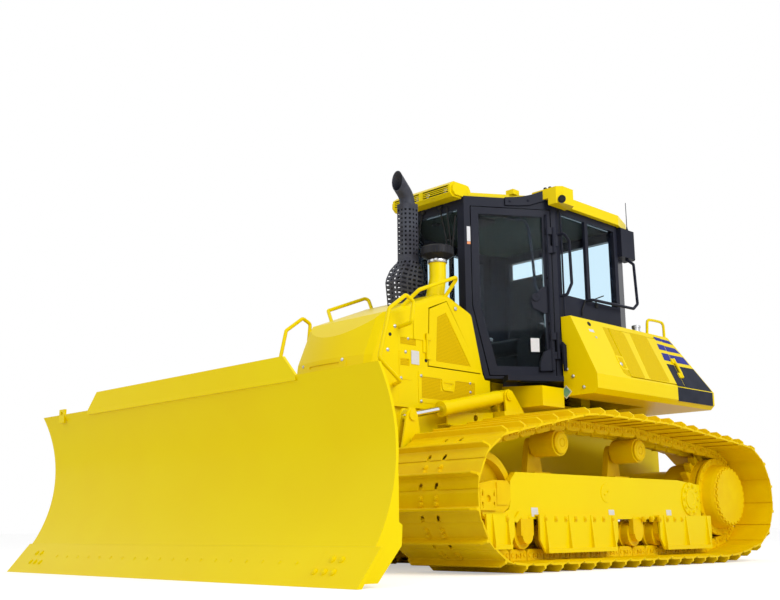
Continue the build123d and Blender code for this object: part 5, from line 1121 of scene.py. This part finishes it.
def guard_ring(z):
    """Sixteen places of the guard at a height: an octagon above, and a box that reaches forward below."""
    x, y = STACK
    if z >= GUARD_WAIST:
        return [at(x + a, y + b, z) for a, b in guard_octagon()]
    if z < GUARD_KNEE:
        drop = (GUARD_KNEE - z) / (GUARD_KNEE - GUARD_FOOT)
        reach = GUARD_REACH - (GUARD_REACH - GUARD_FOOT_REACH) * drop
    else:
        reach = GUARD_REACH * (GUARD_WAIST - z) / (GUARD_WAIST - GUARD_KNEE)
    flat = GUARD_RADIUS * math.cos(math.pi / 8)
    corner = min((GUARD_WAIST - z) / 60, 1.0)
    ring = []
    for a, b in guard_octagon():
        longest = max(abs(a), abs(b))
        a, b = a + (a / longest * flat - a) * corner, b + (b / longest * flat - b) * corner
        ring.append(at(x + a + reach * (a + flat) / (2 * flat), y + b, z))
    return ring


def guard_levels():
    """Heights of the guard's rows of holes."""
    lower = [GUARD_FOOT + (GUARD_WAIST - GUARD_FOOT) * step / 12 for step in range(13)]
    return lower + [GUARD_WAIST + (GUARD_TOP - GUARD_WAIST) * step / 13 for step in range(1, 14)]


def at_height(vertex, z):
    """Whether a vertex lies at a height."""
    return abs(vertex.co.z - z * MM) < 0.0005


def guard_sheet():
    """The guard's wall without thickness, extruded row by row and fitted to the ring of each height."""
    levels = guard_levels()
    fresh()
    bpy.ops.mesh.primitive_circle_add(vertices=16, fill_type="NOTHING")
    piece = bpy.context.active_object
    for vertex, place in zip(piece.data.vertices, guard_ring(levels[0])):
        vertex.co = place
    for below, level in zip(levels, levels[1:]):
        bpy.ops.object.mode_set(mode="EDIT")
        bpy.ops.mesh.select_mode(type="VERT")
        bpy.ops.mesh.select_all(action="DESELECT")
        mesh = bmesh.from_edit_mesh(piece.data)
        for vertex in mesh.verts:
            vertex.select = at_height(vertex, below)
        mesh.select_flush(True)
        bmesh.update_edit_mesh(piece.data)
        bpy.ops.mesh.extrude_region_move(TRANSFORM_OT_translate={"value": (0.0, 0.0, (level - below) * MM)})
        leave_edit()
        old, new = guard_ring(below), guard_ring(level)
        for vertex in piece.data.vertices:
            if at_height(vertex, level):
                nearest = min(range(16), key=lambda index: (old[index].xy - vertex.co.xy).length)
                vertex.co.xy = new[nearest].xy
    return piece


def punched_guard():
    """The guard as a sheet with rows of square holes, given its thickness last."""
    piece = guard_sheet()
    choose_faces(piece, lambda middle, normal: True)
    bpy.ops.mesh.normals_make_consistent(inside=False)
    leave_edit()
    bands = ((GUARD_WAIST, GUARD_WAIST + GUARD_BAND), (GUARD_TOP - GUARD_BAND, GUARD_TOP))
    choose_faces(piece, lambda place, normal: not any(low * MM < place.z < high * MM for low, high in bands))
    bpy.ops.mesh.inset(thickness=GUARD_RIB * MM, use_individual=True)
    bpy.ops.mesh.delete(type="FACE")
    leave_edit()
    wall = piece.modifiers.new("wall", "SOLIDIFY")
    wall.thickness = GUARD_WALL * MM
    wall.offset = -1.0
    return applied(piece, wall)


def precleaner_trim(ribs=30):
    """The clamp below the precleaner's cap, and the ribs round the cap."""
    band = [(-13, 74), (-13, 77), (-9, 79), (9, 79), (13, 77), (13, 74)]
    clamp = turned((*PRECLEANER, 2396), UP, band, 40, True)
    lug = block((2692, 330, 2386), (2712, 364, 2406), 3)
    settle(joined([clamp, lug]), "precleaner_clamp", "bright_steel", "chassis")
    centre = Matrix.Translation(at(*PRECLEANER, 0))
    rib = block((MIDDLE_X + 126, -3, 2444), (MIDDLE_X + 134.5, 3, 2504), 1, 1)
    cap = copies(rib, [centre @ Matrix.Rotation(math.tau * step / ribs, 4, "Z") for step in range(ribs)])
    settle(cap, "precleaner_ribs", "black_rubber", "chassis")


class BULLDOZER_OT_exhaust(bpy.types.Operator):
    """Punch the exhaust guard and fit the precleaner's clamp"""

    bl_idname = "bulldozer.exhaust"
    bl_label = "Exhaust"

    def execute(self, context):
        guard = punched_guard()
        settle(guard, "stack_guard", "stack_paint", "chassis", 20.0)
        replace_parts(guard, "exhaust_guard")
        precleaner_trim()
        return {"FINISHED"}


# Cab: half its plan under the roof, the roof's underside, and the direction that the left door faces
CAB_PLAN = ((2298, 326), (1671, 738), (780, 738), (582, 647))
ROOF_UNDERSIDE = 3004.0
LINING = ROOF_UNDERSIDE - 14.0
DOOR_OUT = (0.5489, 0.8358, 0.0)
DOOR_CORNER = (2360.0, 360.0)
POST_BRACKET = (
    (356, 3009), (432, 3014), (520, 3026), (590, 3044), (690, 3082), (806, 3086), (806, 3004), (730, 3000),
    (640, 2972), (575, 2950), (480, 2940), (356, 2938),
)
LOCK_PLATE = ((648, 2241), (736, 2270), (743, 2036), (673, 2017), (571, 2064), (552, 2131))
LOCK_FOOT = ((610, 1613), (647, 1700), (740, 1736), (734, 1540), (607, 1534))
CORNER_PLATE = ((1734, 1781), (1640, 1726), (1612, 1679), (1632, 1560), (1716, 1535))
INNER_RAIL = (
    (2066, 520, 2925), (2047, 484, 2914), (2026, 497, 2872), (2004, 512, 2845), (1930, 560, 2843),
    (1868, 600, 2842), (1842, 617, 2800), (1830, 625, 2740), (1820, 631, 2620), (1806, 641, 2400),
    (1800, 645, 2250), (1806, 690, 2190),
)
CORNER_PIPE = (
    (1650, 806, 2930), (1650, 822, 2900), (1650, 824, 2700), (1650, 824, 2271), (1650, 824, 1830),
    (1650, 806, 1800),
)
# Height and distance from the door's plane of the rod along its rear edge
DOOR_ROD = ((2872, 4), (2872, 26), (2850, 28), (2269, 28), (1560, 28), (1540, 26), (1540, 4))


def on_door(a, b, out=0.0):
    """A place on the left cab door: a to the rear from the front post, b up, out from its plane."""
    forward, left, up = DOOR_OUT
    x, y = DOOR_CORNER
    return (x - left * a + forward * out, y + forward * a + left * out, b)


def door_plate(outline, back, front, edge=2.0):
    """A plate on the door's plane."""
    return plate([on_door(a, b) for a, b in outline], DOOR_OUT, back, front, edge)


def work_lamp(centre, axis, radius):
    """A round lamp's black body and its glass, as two pieces."""
    shell = [(-24, 0), (-24, radius * 0.7), (-6, radius), (6, radius)]
    shell += [(6, radius - 4), (1, radius - 6), (1, 0)]
    lens = [(1, radius - 6), (4, radius * 0.6), (6, radius * 0.25), (6.5, 0), (0, 0)]
    return turned(centre, axis, shell, 28), turned(centre, axis, lens, 28)


class BULLDOZER_OT_lamps(bpy.types.Operator):
    """Lay black sheets in the roof's lamp housing as painted shade in its recess, and fit the work lamps"""

    bl_idname = "bulldozer.lamps"
    bl_label = "Lamps"

    def execute(self, context):
        shade_sheets, bodies, glasses = [], [], []
        for side in (-1, 1):
            low, high = sorted((side * 24, side * 311))
            # Black sheets on the back, top and floor of the lamp recess are painted shade
            shade_sheets.append(block((2432, low, 3020), (2436, high, 3078), 1, 1))
            shade_sheets.append(block((2434, low, 3076), (2494, high, 3079), 1, 1))
            shade_sheets.append(block((2434, low, 3019), (2494, high, 3022), 1, 1))
            for y in (62, 262):
                body, glass = work_lamp((2474, side * y, 3049), FORWARD, 29)
                bodies.append(body)
                glasses.append(glass)
        settle(joined(shade_sheets), "lamp_liners", "black_rubber", "chassis")
        settle(joined(bodies), "roof_lamps", "cab_paint", "chassis")
        settle(joined(glasses), "roof_lamp_glass", "lamp_glass", "chassis")
        body, glass = work_lamp((1776, 938, 2970), (1.0, 0.15, 0.0), 34)
        settle_pair(body, "side_lamp", "cab_paint", "chassis")
        settle_pair(glass, "side_lamp_glass", "black_rubber", "chassis")
        profile = [(0, 15), (14, 15), (20, 11), (22, 0), (0, 0)]
        knobs = [turned((x, y, 3090), UP, profile, 16) for x, y in ((1772, 768), (1764, 812))]
        settle_pair(joined(knobs), "pod_knobs", "black_rubber", "chassis")
        return {"FINISHED"}


def cab_bracket():
    """The bracket of the lamp pod along the door's head, with its bolts."""
    bracket = door_plate(POST_BRACKET, 2, 16, 3)
    places = [at(*on_door(a, b, 15)) for a, b in ((400, 2975), (560, 2990), (735, 3042))]
    studs = copies(bolt(9, 6), [stand(place, DOOR_OUT) for place in places])
    settle_pair(joined([bracket, studs]), "pod_bracket", "cab_paint", "chassis")


def door_edge():
    """The rod along the door's rear edge, the pipe on the cab's corner behind it, and their clips."""
    rod = tube([on_door(712, z, out) for z, out in DOOR_ROD], 8)
    clips = [door_plate(upright_box(700, 724, z, z + 18), 0, 24) for z in (2700, 2320, 1930)]
    settle_pair(joined([rod] + clips), "door_rod", "cab_paint", "cab_door_left")
    settle_pair(tube(CORNER_PIPE, 8), "corner_pipe", "cab_paint", "chassis")


def door_fittings():
    """The lock's plate, round cover and foot, the corner's bracket and the bar inside the door."""
    lock = door_plate(LOCK_PLATE, 0, 7, 3)
    profile = [(0, 36), (10, 36), (15, 30), (15, 12), (11, 9), (11, 0)]
    cover = turned(on_door(596, 2154, 5), DOOR_OUT, profile, 24)
    foot = door_plate(LOCK_FOOT, 0, 30, 4)
    settle_pair(joined([lock, cover, foot]), "door_lock", "cab_paint", "cab_door_left")
    side = plate([(x, 834, z) for x, z in CORNER_PLATE], OUTWARD, 0, 22, 4)
    stem = block((1640, 798, 1600), (1690, 836, 1700), 4)
    settle_pair(joined([side, stem]), "corner_bracket", "cab_paint", "chassis")
    settle_pair(tube(INNER_RAIL, 12), "door_grab_bar", "cab_paint", "cab_door_left")


def door_labels():
    """Blank labels on the front post and the door."""
    for outline, name, finish, body in (
        (((22, 2742), (52, 2739), (52, 2612), (22, 2612)), "post_label", "label_film", "chassis"),
        (((22, 2610), (52, 2610), (52, 2588), (22, 2588)), "post_mark", "amber_plastic", "chassis"),
        (((542, 1812), (616, 1812), (616, 1698), (542, 1698)), "door_label", "label_film", "cab_door_left"),
    ):
        settle_pair(door_plate(outline, -0.5, 1.5, 0.5), name, finish, body)


def wipers():
    """Two arms and a blade for each half of the windscreen, and the side window's wiper."""
    arms = []
    for side in (-1, 1):
        arms.append(bar((2372, side * 101, 2960), (2374, side * 193, 2552), 12, 8))
        arms.append(bar((2372, side * 181, 2946), (2374, side * 227, 2556), 12, 8))
        arms.append(bar((2371, side * 275, 2850), (2371, side * 190, 2260), 10, 12))
        arms.append(block((2362, side * 100 - 20, 2940), (2378, side * 100 + 20, 2972), 4))
    settle(joined(arms), "screen_wipers", "black_rubber", "chassis")
    wiper = [
        bar((1262, 808, 2193), (1040, 808, 2274), 12, 9),
        bar((1180, 812, 2224), (1150, 812, 2168), 10, 10),
        bar((1319, 808, 2192), (1372, 808, 2104), 12, 9),
        bar((1372, 808, 2104), (1376, 808, 2050), 12, 9),
        block((1135, 798, 2150), (1170, 814, 2180), 3),
    ]
    settle_pair(joined(wiper), "side_wiper", "black_rubber", "chassis")


class BULLDOZER_OT_cab_outside(bpy.types.Operator):
    """Fit the cab's outside bracket, rods, plates, labels and wipers"""

    bl_idname = "bulldozer.cab_outside"
    bl_label = "Cab outside"

    def execute(self, context):
        cab_bracket()
        door_edge()
        door_fittings()
        door_labels()
        wipers()
        return {"FINISHED"}


def roof_vent(x, y):
    """A round vent in the headliner with its three slats."""
    profile = [(0, 48), (6, 48), (9, 44), (9, 36), (3, 33), (3, 0), (0, 0)]
    parts = [turned((x, y, LINING), DOWN, profile, 24)]
    for step in (-16, 0, 16):
        low, high = (x - 34, y + step - 3, LINING - 10), (x + 34, y + step + 3, LINING - 3)
        parts.append(block(low, high, 1, 1))
    return parts


class BULLDOZER_OT_cab_inside(bpy.types.Operator):
    """Line the roof and fit the small fittings inside the cab"""

    bl_idname = "bulldozer.cab_inside"
    bl_label = "Cab inside"

    def execute(self, context):
        outline = list(CAB_PLAN) + [(x, -y) for x, y in reversed(CAB_PLAN)]
        lining = plate([(x, y, LINING) for x, y in outline], UP, 0, 13, 4, 2)
        settle(lining, "headliner", "headliner_cloth", "chassis")
        vents = []
        for x, y in ((1950, 330), (1950, -330), (1500, 560), (1500, -560)):
            vents += roof_vent(x, y)
        vents.append(block((1650, -130, LINING - 30), (1900, 130, LINING + 1), 12))
        settle(joined(vents), "roof_vents", "grey_plastic", "chassis")
        rest = block((1180, 330, 1985), (1450, 430, 2035), 16, 3)
        settle_pair(rest, "arm_rest", "label_film", "chassis")
        buckle = block((1330, 256, 1900), (1372, 276, 1965), 5)
        settle(buckle, "belt_buckle", "red_plastic", "chassis")
        return {"FINISHED"}


# Seat: the cover's mesh size, how far the stuffing may swell it, its pressure and the steps it takes
COVER_VOXEL = 6.0
SWELL = 12.0
PRESSURE = 4.0
CLOTH_STEPS = 20
BACK_SIDE = ((1026, 1922), (1138, 1940), (1058, 2604), (976, 2604))
SEAT_HALF = 226.0


def swollen(piece):
    """Lets the stuffing's pressure swell a cover, with each point's way held to the swell."""
    before = [vertex.co.copy() for vertex in piece.data.vertices]
    cloth = piece.modifiers.new("stuffing", "CLOTH")
    cloth.settings.use_pressure = True
    cloth.settings.uniform_pressure_force = PRESSURE
    cloth.settings.effector_weights.gravity = 0.0
    scene = bpy.context.scene
    for step in range(CLOTH_STEPS):
        scene.frame_set(step + 1)
    applied(piece, cloth)
    scene.frame_set(1)
    for vertex, place in zip(piece.data.vertices, before):
        way = vertex.co - place
        if way.length > SWELL * MM:
            vertex.co = place + way.normalized() * SWELL * MM
    smooth = piece.modifiers.new("fine", "SUBSURF")
    smooth.levels = 1
    smooth.render_levels = 1
    applied(piece, smooth)


def stuffed(piece, name):
    """A padded cushion of the seat, from its plain form."""
    only(piece)
    cover = piece.modifiers.new("cover", "REMESH")
    cover.mode = "VOXEL"
    cover.voxel_size = COVER_VOXEL * MM
    applied(piece, cover)
    swollen(piece)
    settle(piece, name, "seat_cloth", "chassis", 80.0)
    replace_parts(piece, "operator_seat")


class BULLDOZER_OT_seat(bpy.types.Operator):
    """Make the seat's base, cushion and back"""

    bl_idname = "bulldozer.seat"
    bl_label = "Seat"

    def execute(self, context):
        base = block((1082, -148, 1546), (1478, 148, 1790), 22, 3)
        rail = block((1060, -190, 1560), (1500, 190, 1590), 8)
        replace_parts(settle(joined([base, rail]), "seat_base", "grey_plastic", "chassis"), "operator_seat")
        stuffed(rounded(block((1046, -236, 1792), (1546, 236, 1916)), 34, 4), "seat_cushion")
        corners = [(x, -SEAT_HALF, z) for x, z in BACK_SIDE]
        stuffed(plate(corners, OUTWARD, 0, 2 * SEAT_HALF, 30, 4), "seat_back")
        return {"FINISHED"}


# Stage: the camera's place in the maker's millimetres, its turns in degrees and its lens
CAMERA_PLACE = (8587.4, 5782.45, 287.07)
CAMERA_YAW = 225.35
CAMERA_PITCH = 12.53
CAMERA_ROLL = -0.44
CAMERA_LENS = 47.66
FLOOR_SIZE = 400.0
# Share of white that the floor adds to the camera's view, so that it reads as the backdrop
FLOOR_LIFT = 0.45


def camera_matrix():
    """The camera's place and turn from its yaw, pitch and roll."""
    yaw, pitch, roll = (math.radians(value) for value in (CAMERA_YAW, CAMERA_PITCH, CAMERA_ROLL))
    ahead = Vector((math.cos(pitch) * math.cos(yaw), math.cos(pitch) * math.sin(yaw), math.sin(pitch)))
    right = Vector((math.sin(yaw), -math.cos(yaw), 0.0))
    up = right.cross(ahead)
    turned_right = right * math.cos(roll) + up * math.sin(roll)
    turned_up = up * math.cos(roll) - right * math.sin(roll)
    turn = Matrix((turned_right, turned_up, -ahead)).transposed().to_4x4()
    return Matrix.Translation(at(*CAMERA_PLACE)) @ turn


def backdrop_world():
    """White to the camera, in gloss and through glass, and a soft pale light on the object."""
    world = bpy.data.worlds.new("studio_world")
    bpy.context.scene.world = world
    world.use_nodes = True
    nodes, links = world.node_tree.nodes, world.node_tree.links
    nodes.clear()
    rays = nodes.new("ShaderNodeLightPath")
    seen, shown = nodes.new("ShaderNodeMath"), nodes.new("ShaderNodeMath")
    seen.operation = shown.operation = "MAXIMUM"
    white, soft = nodes.new("ShaderNodeBackground"), nodes.new("ShaderNodeBackground")
    for light, strength in ((white, 1.0), (soft, bpy.context.scene.bulldozer_stage.sky)):
        light.inputs["Color"].default_value = (1.0, 1.0, 1.0, 1.0)
        light.inputs["Strength"].default_value = strength
    mix = nodes.new("ShaderNodeMixShader")
    out = nodes.new("ShaderNodeOutputWorld")
    links.new(rays.outputs["Is Camera Ray"], seen.inputs[0])
    links.new(rays.outputs["Is Glossy Ray"], seen.inputs[1])
    links.new(seen.outputs[0], shown.inputs[0])
    links.new(rays.outputs["Is Transmission Ray"], shown.inputs[1])
    links.new(shown.outputs[0], mix.inputs["Fac"])
    links.new(soft.outputs[0], mix.inputs[1])
    links.new(white.outputs[0], mix.inputs[2])
    links.new(mix.outputs[0], out.inputs["Surface"])


def floor_material():
    """Pale floor that reads white in the open and keeps the shadow."""
    material = shader_material("studio_floor", (0.8, 0.8, 0.8), 0.9, 0.0, 0.1)
    shader = shader_of(material)
    nodes, links = material.node_tree.nodes, material.node_tree.links
    rays = nodes.new("ShaderNodeLightPath")
    lift = nodes.new("ShaderNodeMath")
    lift.operation = "MULTIPLY"
    lift.inputs[1].default_value = FLOOR_LIFT
    links.new(rays.outputs["Is Camera Ray"], lift.inputs[0])
    shader.inputs["Emission Color"].default_value = (1.0, 1.0, 1.0, 1.0)
    links.new(lift.outputs[0], shader.inputs["Emission Strength"])
    return material


def area_lamp(name, place, aim, size, power):
    """A large soft lamp that looks at a point of the machine."""
    data = bpy.data.lights.new(name, "AREA")
    data.size = size
    data.energy = power
    lamp = bpy.data.objects.new(name, data)
    bpy.context.scene.collection.objects.link(lamp)
    lamp.location = place
    lamp.rotation_euler = (Vector(aim) - Vector(place)).to_track_quat("-Z", "Y").to_euler()


class StageSettings(bpy.types.PropertyGroup):
    """Studio round the machine"""

    sky: FloatProperty(
        name="Sky", description="Strength of the soft light from all round", default=0.62, min=0.0
    )
    key: FloatProperty(
        name="Key", description="Power of the key lamp", default=560.0, min=0.0, unit="POWER"
    )
    fill: FloatProperty(
        name="Fill", description="Power of the fill lamp", default=150.0, min=0.0, unit="POWER"
    )


class BULLDOZER_OT_stage(bpy.types.Operator):
    """Lay the floor, hang the lamps and set up the camera"""

    bl_idname = "bulldozer.stage"
    bl_label = "Stage"

    def execute(self, context):
        scene = context.scene
        scene.view_settings.view_transform = "Standard"
        backdrop_world()
        fresh()
        bpy.ops.mesh.primitive_plane_add(size=FLOOR_SIZE, location=(0.0, 0.0, -0.001))
        floor = settled()
        floor.name = "floor"
        floor.data.materials.append(floor_material())
        settings = scene.bulldozer_stage
        area_lamp("key_lamp", (1.5, 9.5, 6.5), (0.0, 0.0, 1.0), 6.0, settings.key)
        area_lamp("fill_lamp", (9.0, -2.0, 5.0), (1.5, 0.0, 0.8), 7.0, settings.fill)
        data = bpy.data.cameras.new("photo_camera")
        data.lens = CAMERA_LENS
        data.clip_end = 1000.0
        camera = bpy.data.objects.new("photo_camera", data)
        scene.collection.objects.link(camera)
        camera.matrix_world = camera_matrix()
        scene.camera = camera
        return {"FINISHED"}


class BULLDOZER_PT_panel(bpy.types.Panel):
    """Buttons for the machine's finish"""

    bl_label = "Bulldozer"
    bl_idname = "BULLDOZER_PT_panel"
    bl_space_type = "VIEW_3D"
    bl_region_type = "UI"
    bl_category = "Bulldozer"

    def draw(self, context):
        for colour in ("yellow", "track", "cab", "stripe"):
            self.layout.prop(context.scene.bulldozer_paint, colour)
        for lamp in ("sky", "key", "fill"):
            self.layout.prop(context.scene.bulldozer_stage, lamp)
        for operator in OPERATORS:
            self.layout.operator(operator.bl_idname)


OPERATORS = (
    BULLDOZER_OT_finishes, BULLDOZER_OT_tracks, BULLDOZER_OT_running_gear, BULLDOZER_OT_blade_bolts,
    BULLDOZER_OT_side_bodies, BULLDOZER_OT_hood, BULLDOZER_OT_exhaust, BULLDOZER_OT_lamps,
    BULLDOZER_OT_cab_outside, BULLDOZER_OT_cab_inside, BULLDOZER_OT_seat, BULLDOZER_OT_stage,
)
CLASSES = (PaintSettings, StageSettings, *OPERATORS, BULLDOZER_PT_panel)


def register():
    """Adds the classes and the settings."""
    for item in CLASSES:
        bpy.utils.register_class(item)
    bpy.types.Scene.bulldozer_paint = PointerProperty(type=PaintSettings)
    bpy.types.Scene.bulldozer_stage = PointerProperty(type=StageSettings)


def unregister():
    """Takes them away again."""
    del bpy.types.Scene.bulldozer_stage
    del bpy.types.Scene.bulldozer_paint
    for item in reversed(CLASSES):
        bpy.utils.unregister_class(item)


def main():
    """Registers the add-on, dresses the machine and sets the stage."""
    register()
    bpy.ops.bulldozer.finishes()
    bpy.ops.bulldozer.tracks()
    bpy.ops.bulldozer.running_gear()
    bpy.ops.bulldozer.blade_bolts()
    bpy.ops.bulldozer.side_bodies()
    bpy.ops.bulldozer.hood()
    bpy.ops.bulldozer.exhaust()
    bpy.ops.bulldozer.lamps()
    bpy.ops.bulldozer.cab_outside()
    bpy.ops.bulldozer.cab_inside()
    bpy.ops.bulldozer.seat()
    bpy.ops.bulldozer.stage()


if __name__ == "__main__":
    main()
